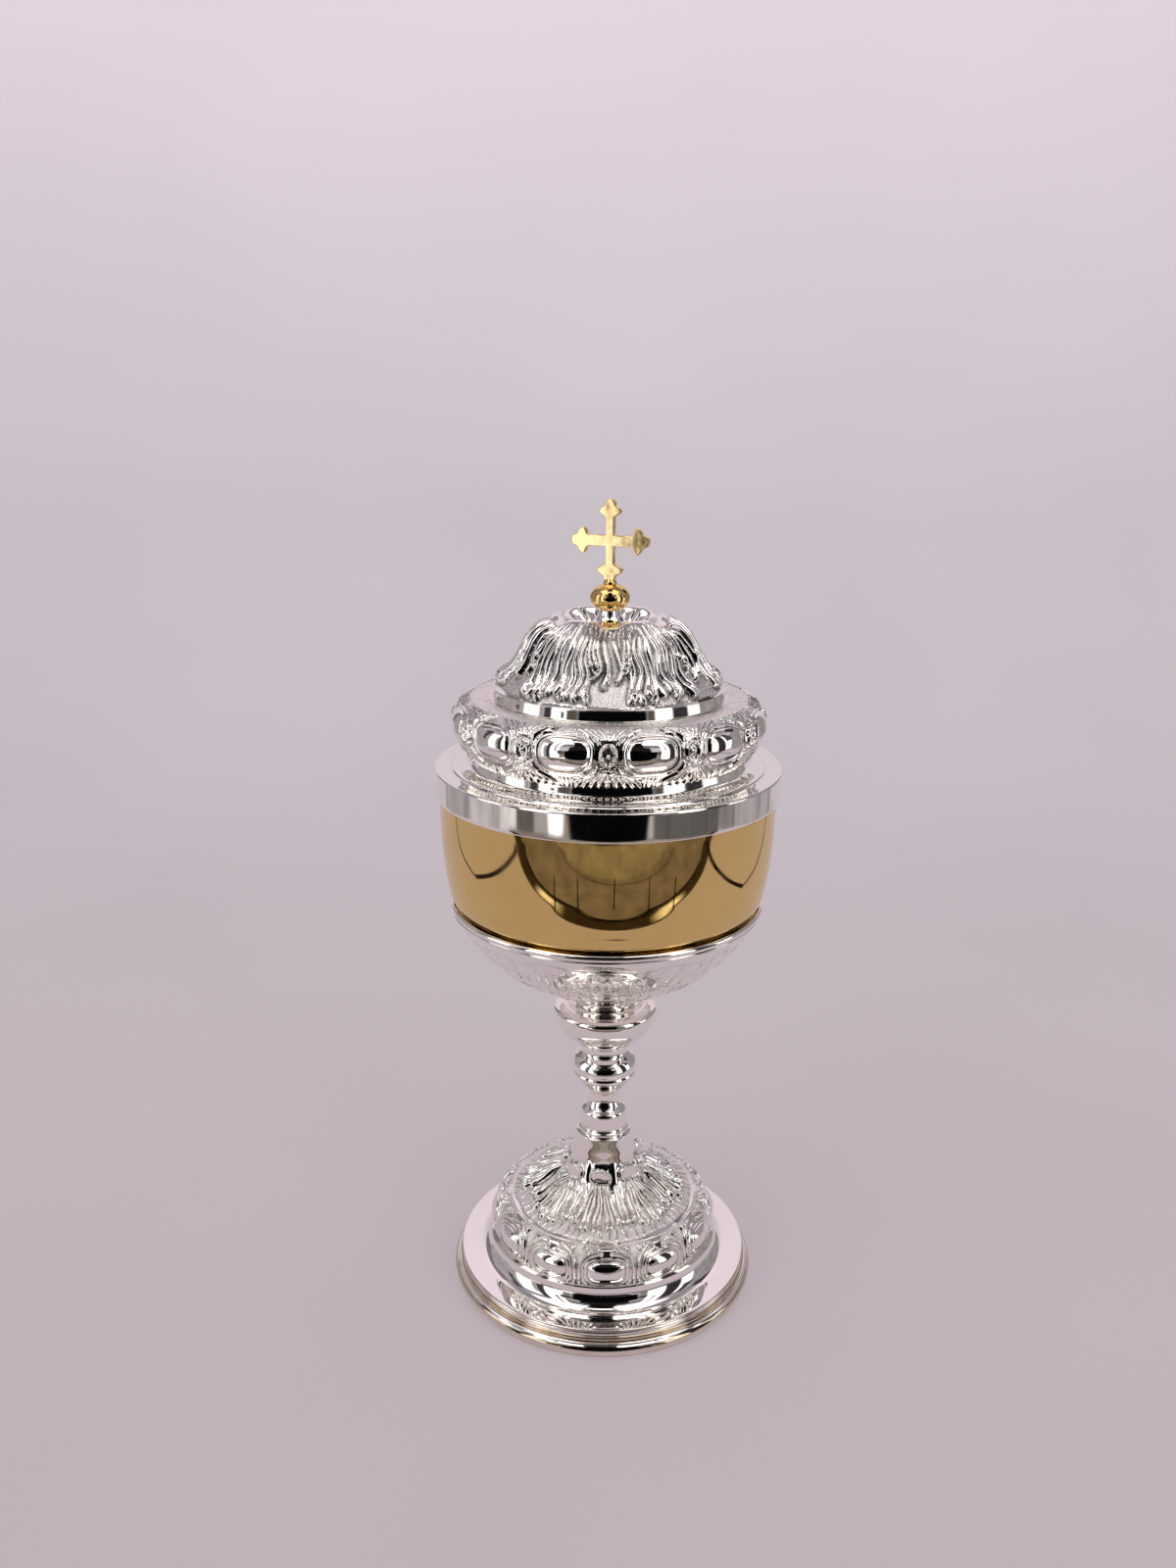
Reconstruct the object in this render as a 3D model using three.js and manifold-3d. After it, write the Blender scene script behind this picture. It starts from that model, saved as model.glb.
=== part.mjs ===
// A covered ciborium: a gilt bowl in a stamped calyx, on a turned stem and a stamped foot that one
// tie rod draws together, with a domed lid that caps the bowl and carries a budded cross.
// Millimetres, +Z up. The origin is the middle of the foot's underside and the front faces -Y.
// Angles round the axis are in degrees from the front, towards +X.
import * as THREE from "three";
import { mergeVertices } from "three/addons/utils/BufferGeometryUtils.js";
import Module from "manifold-3d";

const wasm = await Module();
wasm.setup();

// Sheet, rods and fits
const sheet = 0.9; // wall of the stamped and spun shells
const cupWall = 1.0;
const skirtWall = 0.8;
const seatWidth = 3.2; // lip on which the next shell of a stack stands
const tieRodRadius = 3.0;
const finialRodRadius = 1.6;
const boreClearance = 0.3; // round a rod, in what it passes through
const lidPlay = 0.5; // between the bowl and the skirt that caps it
const calyxPlay = 0.8; // between the bowl and the calyx under it
const rimPlay = 0.3; // between the bowl and the wire round the calyx's mouth

// Foot
const footRadius = 57.1;
const footRimHeight = 6.0;
const footRimRound = 1.4;
const footFlangeInset = 2.3; // from the rim's outside to the flange that stands on it
const footRimSeat = 1.3; // rim left inside the flange's wall
const footFlangeHeight = 4.5;
const footFlangeRound = 1.6;
const footCoveWidth = 11.4;
const footCoveHeight = 7.7;
const footDrumRadius = 41.0; // top of the cove, where the cabochon band stands
const footBandHeight = 13.2;
const footBandBulge = 1.1; // belly of the band beyond its base
const footShoulderRadius = 35.7; // top of the band, where the leaf cone stands
const footConeHeight = 26.8;
const footConeNeck = 10.2;
const coneInset = 0.4; // from the band's shoulder in to the cone that stands on it
const conePlate = 1.2; // plate that closes the cone under the stem
const footTurn = 2.5; // turn of the foot's cabochons against the lid's
const coneTurn = -3.9; // turn of the cone's leaves

// Stem
const stemRingRadius = 9.9;
const stemRingWaist = 8.2;
const stemRingHeight = 2.7;
const stemCollarRadius = 8.8;
const stemCollarWaist = 7.0;
const stemCollarHeight = 7.0;
const nodeRadius = 12.3;
const nodeNeckRadius = 5.5;
const nodeHeight = 26.5;
const knopRadius = 19.3;
const knopNeckRadius = 7.9;
const knopHeight = 16.6;
const beadRadius = 11.4;
const beadWaist = 9.6;
const beadHeight = 5.4;

// Bowl and calyx
const cupRadius = 58.7; // outside of the mouth
const cupBeltRadius = 54.4; // outside of the bowl at the calyx's mouth
const cupDepth = 78.2;
const bossRadius = 7.0;
const bossHeight = 5.7;
const bossCap = 1.2; // metal over the boss's blind bore
const calyxFootRadius = 13.2;
const calyxHeight = 34.4;
const calyxRimHeight = 2.4;
const calyxRimWidth = 1.0;

// Lid
const skirtHeight = 9.6;
const lidLandWidth = 3.2; // flat under the flange that rests on the bowl's rim
const lidMouldingRadius = 47.4;
const lidMouldingHeight = 4.5;
const lidBandHeight = 19.0;
const lidBandRadius = 52.5;
const lidDrumRadius = 39.8;
const lidDrumHeight = 3.7;
const domeHeight = 18.0; // from the drum to the finial's seat
const domeCrestRadius = 19.4;
const domeCrestRise = 5.8; // crest above the finial's seat

// Finial
const neckRingRadius = 8.5;
const neckRingHeight = 2.7;
const neckTopRadius = 3.5;
const neckHeight = 7.6;
const ballRadius = 6.8;
const ballHeight = 8.8;
const crossReach = 13.6; // from the middle to the tip of an arm
const crossBar = 3.9; // depth of the arms
const crossPost = 2.9; // width of the upright
const crossArmSpread = 9.0; // over the side buds of an arm
const crossPostSpread = 7.4; // over the side buds of the upright
const crossBudRadius = 1.6;
const crossTipRadius = 1.75;
const crossBudSetback = 2.4; // from the tip bud's middle back to the side buds'
const crossThickness = 2.5;
const crossBevel = 0.4;
const crossFootRadius = 2.3;
const crossFootHeight = 1.6;
const crossTurn = -20;

// Cabochons and leaves
const cabochonCount = 12;
const lidCabochon = { width: 15.0, height: 10.6, rise: 2.2, frame: 1.7, frameRise: 1.1, grooved: true };
const footCabochon = { width: 10.4, height: 7.4, rise: 1.75, frame: 1.3, frameRise: 0.8, grooved: false };
const cabochonBelly = 0.43; // share of a band's face up to its cabochons' middles
const lidButton = { radius: 3.0, rise: 1.5 };
const footRib = { rise: 0.9, foot: 5.6, head: 7.4 }; // between the foot's cabochons
const domeLeafCount = 6;
const coneLeafCount = 8;
const calyxLeafCount = 8;
const domeLeafRise = 1.5;
const coneLeafRise = 1.3;
const calyxLeafRise = 0.8;
const domeCurlRise = 1.9; // scrolls at the leaves' upper ends
const coneCurlRise = 2.7;
const leafEdge = 0.035; // share of a face's length in which a leaf's tip falls to the ground

// Washers and nuts
const footWasherRadius = 7.6;
const footWasherThickness = 1.6;
const footNutAcross = 10.0;
const footNutHeight = 5.2;
const finialWasherRadius = 5.4;
const finialWasherThickness = 1.0;
const finialNutAcross = 6.0;
const finialNutHeight = 3.0;
const threadEnd = 2.0; // rod left proud of its nut

// Faceting
const wideFacets = 36;
const narrowFacets = 20;
const boreFacets = 12;
const budSteps = 4;

// Levels of the stack, each from the piece below
const zFootSeat = footRimHeight;
const zFlange = zFootSeat + footFlangeHeight;
const zFootBand = zFlange + footCoveHeight;
const zFootCone = zFootBand + footBandHeight;
const zStemRing = zFootCone + footConeHeight;
const zStemCollar = zStemRing + stemRingHeight;
const zNode = zStemCollar + stemCollarHeight;
const zKnop = zNode + nodeHeight;
const zBead = zKnop + knopHeight;
const zCalyx = zBead + beadHeight;
const zCalyxRim = zCalyx + calyxHeight;
const zBoss = zCalyx + sheet;
const zCup = zBoss + bossHeight;
const zCupRim = zCup + cupDepth;
const zLidFlange = zCupRim + sheet;
const zSkirt = zLidFlange - skirtHeight;
const zLidBand = zLidFlange + lidMouldingHeight;
const zLidDrum = zLidBand + lidBandHeight;
const zDome = zLidDrum + lidDrumHeight;
const zNeck = zDome + domeHeight;
const zBall = zNeck + neckHeight;
const zCross = zBall + ballHeight;

const tieBore = tieRodRadius + boreClearance;
const finialBore = finialRodRadius + boreClearance;
const lidRadius = cupRadius + lidPlay + skirtWall;

/** Points given as [share of the swell from one radius to another, share of the height]. */
function outline(fromRadius, toRadius, base, height, shares) {
  return shares.map(([swell, rise]) => [fromRadius + swell * (toRadius - fromRadius), base + rise * height]);
}

/** Points on an ellipse's arc round [r, z], from one angle to another in degrees. */
function arc(r, z, halfWidth, halfHeight, fromAngle, toAngle, steps) {
  const curve = new THREE.EllipseCurve(
    r, z, halfWidth, halfHeight,
    THREE.MathUtils.degToRad(fromAngle), THREE.MathUtils.degToRad(toAngle), toAngle < fromAngle,
  );
  return curve.getPoints(steps).map((point) => [point.x, point.y]);
}

/** A smooth curve through [r, z] points. */
function smooth(points) {
  return new THREE.SplineCurve(points.map(([r, z]) => new THREE.Vector2(r, z)));
}

/** A geometry with its shared vertices merged, no collapsed faces, and every face outwards. */
function closedBody(geometry) {
  const bare = new THREE.BufferGeometry();
  bare.setAttribute("position", geometry.getAttribute("position"));
  bare.setIndex(geometry.getIndex());
  const merged = mergeVertices(bare, 1e-4);
  const position = merged.getAttribute("position");
  const faces = [];
  let volume = 0;
  const corners = [new THREE.Vector3(), new THREE.Vector3(), new THREE.Vector3()];
  for (let i = 0; i < merged.index.count; i += 3) {
    const face = [0, 1, 2].map((k) => merged.index.getX(i + k));
    if (new Set(face).size < 3) continue;
    faces.push(face);
    face.forEach((vertex, k) => corners[k].fromBufferAttribute(position, vertex));
    volume += corners[0].dot(corners[1].clone().cross(corners[2]));
  }
  if (volume < 0) faces.forEach((face) => face.reverse());
  merged.setIndex(faces.flat());
  merged.computeVertexNormals();
  return merged;
}

/** A body turned from a closed outline of [r, z] points, which may run along the axis. */
function turned(points, facets) {
  const loop = points.map(([r, z]) => new THREE.Vector2(r, z));
  if (points[0][0] > 0 || points[points.length - 1][0] > 0) loop.push(loop[0].clone());
  return closedBody(new THREE.LatheGeometry(loop, facets).rotateX(Math.PI / 2));
}

/** A turned body with a bore: its outside from the bottom up, closed along the bore. */
function bored(outside, bore, facets) {
  const bottom = outside[0][1];
  const top = outside[outside.length - 1][1];
  return turned([...outside, [bore, top], [bore, bottom]], facets);
}

/** A point set off a curve along its outward side, by a height that may be negative. */
function setOff(curve, share, height) {
  const point = curve.getPointAt(share);
  const tangent = curve.getTangentAt(share);
  return [point.x + tangent.y * height, point.y - tangent.x * height];
}

/** The plain inner face of a shell, down from its top, between two edge points. */
function innerFace(curve, shares, wall) {
  return shares.map((share) => setOff(curve, share, -wall));
}

/**
 * A stamped shell. outside(column) lists its [r, z] points at each column's angle, as many at
 * every angle; inside lists the plain points that follow on round the section, which every
 * second column shares.
 */
function stamped(columns, outside, inside) {
  const positions = [];
  const faces = [];
  const raise = (points, angle) =>
    points.map(([r, z]) => {
      const turn = THREE.MathUtils.degToRad(angle);
      positions.push(r * Math.sin(turn), -r * Math.cos(turn), z);
      return positions.length / 3 - 1;
    });
  const after = (rings, k) => rings[(k + 1) % rings.length];
  const skin = (rings) =>
    rings.forEach((ring, k) => {
      const next = after(rings, k);
      for (let i = 0; i + 1 < ring.length; i += 1) {
        faces.push(ring[i], next[i], next[i + 1], ring[i], next[i + 1], ring[i + 1]);
      }
    });
  const fine = columns.map((column) => raise(outside(column), column.angle));
  const coarse = columns.filter((_, k) => k % 2 === 0).map((column) => raise(inside, column.angle));
  skin(fine);
  skin(coarse);
  coarse.forEach((ring, m) => {
    const next = after(coarse, m);
    const [left, middle, right] = [fine[2 * m], fine[2 * m + 1], after(fine, 2 * m + 1)];
    const last = left.length - 1;
    const foot = ring.length - 1;
    faces.push(left[last], middle[last], ring[0]);
    faces.push(middle[last], right[last], next[0]);
    faces.push(middle[last], next[0], ring[0]);
    faces.push(ring[foot], next[foot], middle[0]);
    faces.push(next[foot], right[0], middle[0]);
    faces.push(ring[foot], middle[0], left[0]);
  });
  const geometry = new THREE.BufferGeometry();
  geometry.setAttribute("position", new THREE.Float32BufferAttribute(positions, 3));
  geometry.setIndex(faces);
  return closedBody(geometry);
}

/** Columns of a repeated unit, mirrored about its middle; each half column has a place from 0 to 1. */
function repeated(count, halfUnit, turn) {
  const mirrored = [
    ...halfUnit.slice(1).reverse().map((column) => ({ ...column, side: -1 })),
    ...halfUnit.filter((column) => column.place < 1).map((column) => ({ ...column, side: 1 })),
  ];
  const halfPitch = 180 / count;
  return Array.from({ length: count }, (_, unit) =>
    mirrored.map((column) => ({
      ...column,
      angle: turn + (2 * unit + column.side * column.place) * halfPitch,
    })),
  ).flat();
}

/** A hexagon nut on a bore, standing on z. */
function hexNut(across, height, bore, z) {
  const corner = across / Math.sqrt(3);
  const shape = new THREE.Shape();
  for (let k = 0; k < 6; k += 1) {
    const angle = (k * Math.PI) / 3;
    shape[k ? "lineTo" : "moveTo"](corner * Math.cos(angle), corner * Math.sin(angle));
  }
  shape.holes.push(new THREE.Path().absarc(0, 0, bore, 0, 2 * Math.PI, true));
  const solid = new THREE.ExtrudeGeometry(shape, {
    depth: height, bevelEnabled: false, curveSegments: boreFacets,
  });
  return closedBody(solid.translate(0, 0, z));
}

/** A washer on a bore, standing on z. */
function washer(radius, thickness, bore, z) {
  return bored([[radius, z], [radius, z + thickness]], bore, boreFacets);
}

/** A round rod between two levels. */
function rod(radius, bottom, top) {
  return turned([[0, bottom], [radius, bottom], [radius, top], [0, top]], boreFacets);
}

/** Two bodies joined into one. */
function joined(first, second) {
  const [a, b] = [first, second].map(
    (body) =>
      new wasm.Manifold(
        new wasm.Mesh({
          numProp: 3,
          vertProperties: body.getAttribute("position").array,
          triVerts: new Uint32Array(body.index.array),
        }),
      ),
  );
  const mesh = a.add(b).getMesh();
  const geometry = new THREE.BufferGeometry();
  geometry.setAttribute("position", new THREE.Float32BufferAttribute(mesh.vertProperties, 3));
  geometry.setIndex(Array.from(mesh.triVerts));
  return closedBody(geometry);
}

/** Columns of a ring of oval cabochons in raised frames, with what stands between each two. */
function cabochonColumns(stone, radius, between, turn) {
  const place = (width) => width / radius / (Math.PI / cabochonCount);
  const middle = place(stone.width / 2);
  return repeated(
    cabochonCount,
    [
      { place: 0, tall: 1, crown: 1 },
      { place: 0.6 * middle, tall: 0.84, crown: 0.84 },
      { place: middle, tall: 0.3, crown: 0 },
      { place: Math.min(middle + place(stone.frame), 0.94), tall: 0, crown: 0 },
      ...between,
    ],
    turn,
  );
}

/** Outside points of one rib between cabochons, level on top and falling to the ground at both ends. */
function ribFace(curve, rib, share) {
  const length = curve.getLength();
  const rise = share * rib.rise;
  const steps = [
    [-rib.foot, 0], [-0.8 * rib.foot, rise], [-0.4 * rib.foot, rise],
    [0.4 * rib.head, rise], [0.8 * rib.head, rise], [rib.head, 0],
  ];
  return [
    setOff(curve, 0, 0),
    ...steps.map(([step, height]) => setOff(curve, cabochonBelly + step / length, height)),
    setOff(curve, 1, 0),
  ];
}

/** Outside points of a cabochon band at one column, from its lower edge to its upper one. */
function cabochonFace(curve, stone, column) {
  const length = curve.getLength();
  const button = column.button;
  const half = button ? 0.6 * button.radius : 0.5 * column.tall * stone.height;
  const frame = button ? button.radius - half : stone.frame;
  const frameRise = column.tall > 0 ? stone.frameRise : 0;
  const crown = button ? button.rise : Math.max(column.crown * stone.rise, frameRise);
  const groove = column.crown > 0 ? 0 : crown;
  const lower = [
    [half + frame, 0],
    ...(stone.grooved ? [[half + frame / 2, frameRise], [half, groove]] : [[half, frameRise]]),
    [half / 2, 0.9 * crown],
  ];
  const rows = [...lower.map(([step, rise]) => [-step, rise]), ...lower.reverse()];
  return [0, ...rows, 1].map((row) =>
    row.length ? setOff(curve, cabochonBelly + row[0] / length, row[1]) : setOff(curve, row, 0));
}

/** A stamped cabochon band with a lip at its top that carries the next piece. */
function cabochonBand(curve, columns, face) {
  const [baseRadius, base] = setOff(curve, 0, 0);
  const [topRadius, top] = setOff(curve, 1, 0);
  return stamped(
    columns,
    face,
    [
      [topRadius - seatWidth, top],
      [topRadius - seatWidth, top - sheet],
      ...innerFace(curve, [0.66, 0.36], sheet),
      [baseRadius - sheet, base],
    ],
  );
}

/** Foot rim: the heavy ring that the ciborium stands on. */
function footRim() {
  const inner = footRadius - footFlangeInset - sheet - footRimSeat;
  return turned(
    [
      [inner, 0],
      [footRadius - footRimRound / 3, 0],
      [footRadius, footRimRound],
      ...arc(footRadius - footRimRound, zFootSeat - footRimRound, footRimRound, footRimRound, 0, 90, 3),
      [inner, zFootSeat],
    ],
    wideFacets,
  );
}

/** Foot base: the spun flange and the cove that rises from it to the cabochon band. */
function footBase() {
  const edge = footRadius - footFlangeInset;
  const coveFoot = footDrumRadius + footCoveWidth;
  return turned(
    [
      [edge, zFootSeat],
      ...arc(edge - footFlangeRound, zFlange - footFlangeRound, footFlangeRound, footFlangeRound, 0, 90, 2),
      ...arc(coveFoot, zFootBand, footCoveWidth, footCoveHeight, 270, 180, 5),
      [footDrumRadius - seatWidth, zFootBand],
      [footDrumRadius - seatWidth, zFootBand - sheet],
      ...arc(coveFoot, zFootBand - sheet, footCoveWidth + sheet, footCoveHeight, 180, 270, 3),
      [edge - sheet, zFlange - sheet - footFlangeRound / 2],
      [edge - sheet, zFootSeat],
    ],
    wideFacets,
  );
}

const footBandCurve = smooth(
  outline(footShoulderRadius, footDrumRadius + footBandBulge - sheet, zFootBand, footBandHeight, [
    [0.87, 0], [0.97, 0.14], [1, 0.32], [0.9, 0.56], [0.62, 0.79], [0.32, 0.93], [0, 1],
  ]),
);

/** Foot band: the stamped ring of cabochons, with a pair of ribs between each two. */
function footBand() {
  const ribs = [{ place: 0.68, rib: 0 }, { place: 0.82, rib: 1 }, { place: 1, rib: 0.2 }];
  return cabochonBand(
    footBandCurve,
    cabochonColumns(footCabochon, footDrumRadius, ribs, footTurn),
    (column) =>
      column.rib === undefined
        ? cabochonFace(footBandCurve, footCabochon, column)
        : ribFace(footBandCurve, footRib, column.rib),
  );
}

const coneCurve = smooth([
  [footShoulderRadius - coneInset, zFootCone],
  ...outline(footConeNeck, footShoulderRadius, zFootCone, footConeHeight, [
    [0.84, 0.045], [0.66, 0.105], [0.5, 0.18], [0.34, 0.28], [0.22, 0.4], [0.13, 0.55], [0.05, 0.8], [0, 1],
  ]),
]);

/** Foot cone: the stamped cone of acanthus leaves under the stem. */
function footCone() {
  const curl = 0.62; // share of the face where the leaves scroll out
  const seatRadius = footShoulderRadius - coneInset;
  const halfLeaf = [
    { place: 0, tip: 0.06, rise: coneLeafRise, curlRise: coneCurlRise },
    { place: 0.26, tip: 0.16, rise: 0.5 * coneLeafRise, curlRise: 0.9 * coneCurlRise },
    { place: 0.52, tip: 0.09, rise: 0.95 * coneLeafRise, curlRise: 0.6 * coneCurlRise },
    { place: 0.76, tip: 0.2, rise: 0.45 * coneLeafRise, curlRise: 0.25 * coneCurlRise },
    { place: 1, tip: 0.12, rise: 0.75 * coneLeafRise, curlRise: 0.15 * coneCurlRise },
  ];
  return stamped(
    repeated(coneLeafCount, halfLeaf, coneTurn),
    ({ tip, rise, curlRise }) => [
      setOff(coneCurve, 0, 0),
      setOff(coneCurve, tip - leafEdge, 0),
      setOff(coneCurve, tip, rise),
      setOff(coneCurve, (tip + curl) / 2, rise),
      setOff(coneCurve, curl - leafEdge, curlRise),
      setOff(coneCurve, curl, curlRise),
      setOff(coneCurve, curl + leafEdge, 0),
      setOff(coneCurve, 1, 0),
    ],
    [
      [tieBore, zStemRing],
      [tieBore, zStemRing - conePlate],
      [footConeNeck - sheet, zStemRing - conePlate],
      ...innerFace(coneCurve, [0.8, 0.55, 0.25], sheet),
      [seatRadius - sheet, zFootCone],
    ],
  );
}

/** Stem ring: the bead that closes the cone's neck. */
function stemRing() {
  const shares = [[0.2, 0], [0.9, 0.08], [1, 0.36], [0.94, 0.72], [0.4, 1]];
  const swell = outline(stemRingWaist, stemRingRadius, zStemRing, stemRingHeight, shares);
  return bored(swell, tieBore, narrowFacets);
}

/** Stem collar: the short drum over the ring, rounded at both ends. */
function stemCollar() {
  const shares = [[0.7, 0], [1, 0.16], [1, 0.66], [0.8, 0.88], [0.3, 1]];
  const swell = outline(stemCollarWaist, stemCollarRadius, zStemCollar, stemCollarHeight, shares);
  return bored(swell, tieBore, narrowFacets);
}

/** Stem node: the turned baluster, with a waist under its double belly. */
function stemNode() {
  const shares = [
    [0.28, 0], [0.07, 0.06], [0, 0.16], [0.02, 0.25], [0.13, 0.32], [0.4, 0.375], [0.75, 0.45], [0.99, 0.53],
    [1, 0.61], [0.95, 0.65], [1, 0.7], [0.92, 0.77], [0.6, 0.835], [0.34, 1],
  ];
  return bored(outline(nodeNeckRadius, nodeRadius, zNode, nodeHeight, shares), tieBore, narrowFacets);
}

/** Knop: the cup-shaped swelling by which the ciborium is held. */
function knop() {
  const shares = [
    [0, 0], [0.06, 0.11], [0.32, 0.22], [0.67, 0.4], [0.92, 0.61], [1, 0.79], [0.94, 0.92], [0.71, 0.98],
    [0.36, 1],
  ];
  return bored(outline(knopNeckRadius, knopRadius, zKnop, knopHeight, shares), tieBore, narrowFacets);
}

/** Stem bead: the ring between the knop and the calyx, waisted above and below. */
function stemBead() {
  const shares = [[0, 0], [0.1, 0.16], [0.7, 0.24], [1, 0.46], [0.8, 0.66], [0.5, 0.8], [0.8, 1]];
  return bored(outline(beadWaist, beadRadius, zBead, beadHeight, shares), tieBore, narrowFacets);
}

const calyxMouth = cupBeltRadius + rimPlay + 0.6 * calyxRimWidth;
const calyxCurve = smooth(
  outline(calyxFootRadius, calyxMouth, zCalyx, calyxHeight, [
    [0, 0], [0.16, 0.105], [0.34, 0.2], [0.53, 0.33], [0.69, 0.49], [0.81, 0.66], [0.91, 0.83], [1, 1],
  ]),
);

/** Calyx: the stamped shell of leaves that holds the bowl. */
function calyx() {
  const halfLeaf = [
    { place: 0, tip: 0.88, rise: calyxLeafRise },
    { place: 0.28, tip: 0.82, rise: 0.5 * calyxLeafRise },
    { place: 0.55, tip: 0.85, rise: calyxLeafRise },
    { place: 0.8, tip: 0.72, rise: 0.4 * calyxLeafRise },
    { place: 1, tip: 0.78, rise: 0.7 * calyxLeafRise },
  ];
  return stamped(
    repeated(calyxLeafCount, halfLeaf, 0),
    ({ tip, rise }) => [
      setOff(calyxCurve, 0, 0),
      setOff(calyxCurve, 0.2, 0.6 * rise),
      setOff(calyxCurve, 0.5, rise),
      setOff(calyxCurve, tip, rise),
      setOff(calyxCurve, tip + leafEdge, 0),
      setOff(calyxCurve, 1, 0),
    ],
    [
      [calyxMouth - sheet, zCalyxRim],
      ...innerFace(calyxCurve, [0.78, 0.52, 0.26], sheet),
      [calyxFootRadius - sheet / 3, zCalyx + sheet],
      [tieBore, zCalyx + sheet],
      [tieBore, zCalyx],
    ],
  );
}

/** Calyx rim: the half-round wire soldered round the calyx's mouth. */
function calyxRim() {
  const inner = cupBeltRadius + rimPlay;
  const swell = outline(inner, inner + calyxRimWidth, zCalyxRim, calyxRimHeight, [
    [0.6, 0], [1, 0.3], [0.9, 0.75], [0.3, 1],
  ]);
  return turned([[inner, zCalyxRim], ...swell, [inner, zCalyxRim + 0.8 * calyxRimHeight]], wideFacets);
}

/** Cup boss: the threaded socket brazed under the bowl, blind at its top. */
function cupBoss() {
  const blind = zCup - bossCap;
  return turned(
    [[tieBore, zBoss], [bossRadius, zBoss], [bossRadius, zCup], [0, zCup], [0, blind], [tieBore, blind]],
    narrowFacets,
  );
}

/** Cup: the spun bowl, gilt inside and out. Its lower half follows the calyx. */
function cup() {
  const gap = sheet + calyxPlay;
  const nest = [0.82, 0.66, 0.5, 0.34].map((share) => setOff(calyxCurve, share, -gap));
  const belt = [cupBeltRadius, zCalyxRim + 0.5 * calyxRimHeight];
  const flank = outline(cupBeltRadius, cupRadius, zCalyxRim, zCupRim - zCalyxRim, [
    [1, 1], [0.97, 0.76], [0.77, 0.36],
  ]);
  const inner = flank.map(([r, z]) => [r - cupWall, z]);
  const nestInner = [0.82, 0.5].map((share) => setOff(calyxCurve, share, -gap - cupWall));
  const flat = 1.25 * calyxFootRadius;
  return turned(
    [
      [0, zCup],
      [flat, zCup],
      ...nest.reverse(),
      belt,
      ...flank.reverse(),
      ...inner,
      [belt[0] - cupWall, belt[1]],
      ...nestInner,
      [flat, zCup + cupWall],
      [0, zCup + cupWall],
    ],
    wideFacets,
  );
}

/** Lid rim: the skirt that caps the bowl and the flange and moulding inside it. */
function lidRim() {
  const land = lidRadius - skirtWall;
  const lip = lidMouldingRadius - seatWidth;
  const moulding = outline(lidMouldingRadius, land, zLidFlange, lidMouldingHeight, [
    [0.4, 0.22], [0.12, 0.42], [0.02, 0.68], [0, 1],
  ]);
  return turned(
    [
      [land, zSkirt],
      [lidRadius, zSkirt],
      [lidRadius, zLidFlange - skirtWall],
      [lidRadius - skirtWall / 2, zLidFlange],
      ...moulding,
      [lip, zLidBand],
      [lip, zLidBand - sheet],
      [lidMouldingRadius - sheet, zLidBand - sheet],
      [moulding[1][0] - sheet, moulding[1][1] - sheet],
      [land - lidLandWidth, zCupRim],
      [land, zCupRim],
    ],
    wideFacets,
  );
}

const lidBandCurve = smooth([
  ...outline(lidMouldingRadius, lidBandRadius, zLidBand, lidBandHeight, [
    [0, 0], [0.55, 0.16], [0.9, 0.36], [1, 0.58], [0.85, 0.78],
  ]),
  ...outline(lidDrumRadius, lidBandRadius, zLidBand, lidBandHeight, [
    [0.66, 0.979], [0.25, 1.005], [0, 1],
  ]),
]);

/** Lid band: the stamped ring of cabochons and buttons. */
function lidBand() {
  const middle = [{ place: 1, tall: 0, crown: 0, button: lidButton }];
  return cabochonBand(
    lidBandCurve,
    cabochonColumns(lidCabochon, lidBandRadius, middle, 180 / cabochonCount),
    (column) => cabochonFace(lidBandCurve, lidCabochon, column),
  );
}

/** Lid drum: the polished ring between the band and the dome. */
function lidDrum() {
  const hollow = 0.4;
  return turned(
    [
      [lidDrumRadius - seatWidth, zLidDrum],
      [lidDrumRadius - hollow, zLidDrum],
      [lidDrumRadius - hollow, zLidDrum + 0.6 * lidDrumHeight],
      [lidDrumRadius + hollow, zDome],
      [lidDrumRadius - seatWidth, zDome],
    ],
    wideFacets,
  );
}

const domeFlank = smooth([
  [lidDrumRadius, zDome],
  ...outline(domeCrestRadius, lidDrumRadius, zDome, domeHeight + domeCrestRise, [
    [0.92, 0.05], [0.76, 0.175], [0.59, 0.35], [0.48, 0.53], [0.36, 0.7], [0.16, 0.875], [0, 1],
  ]),
]);

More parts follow.
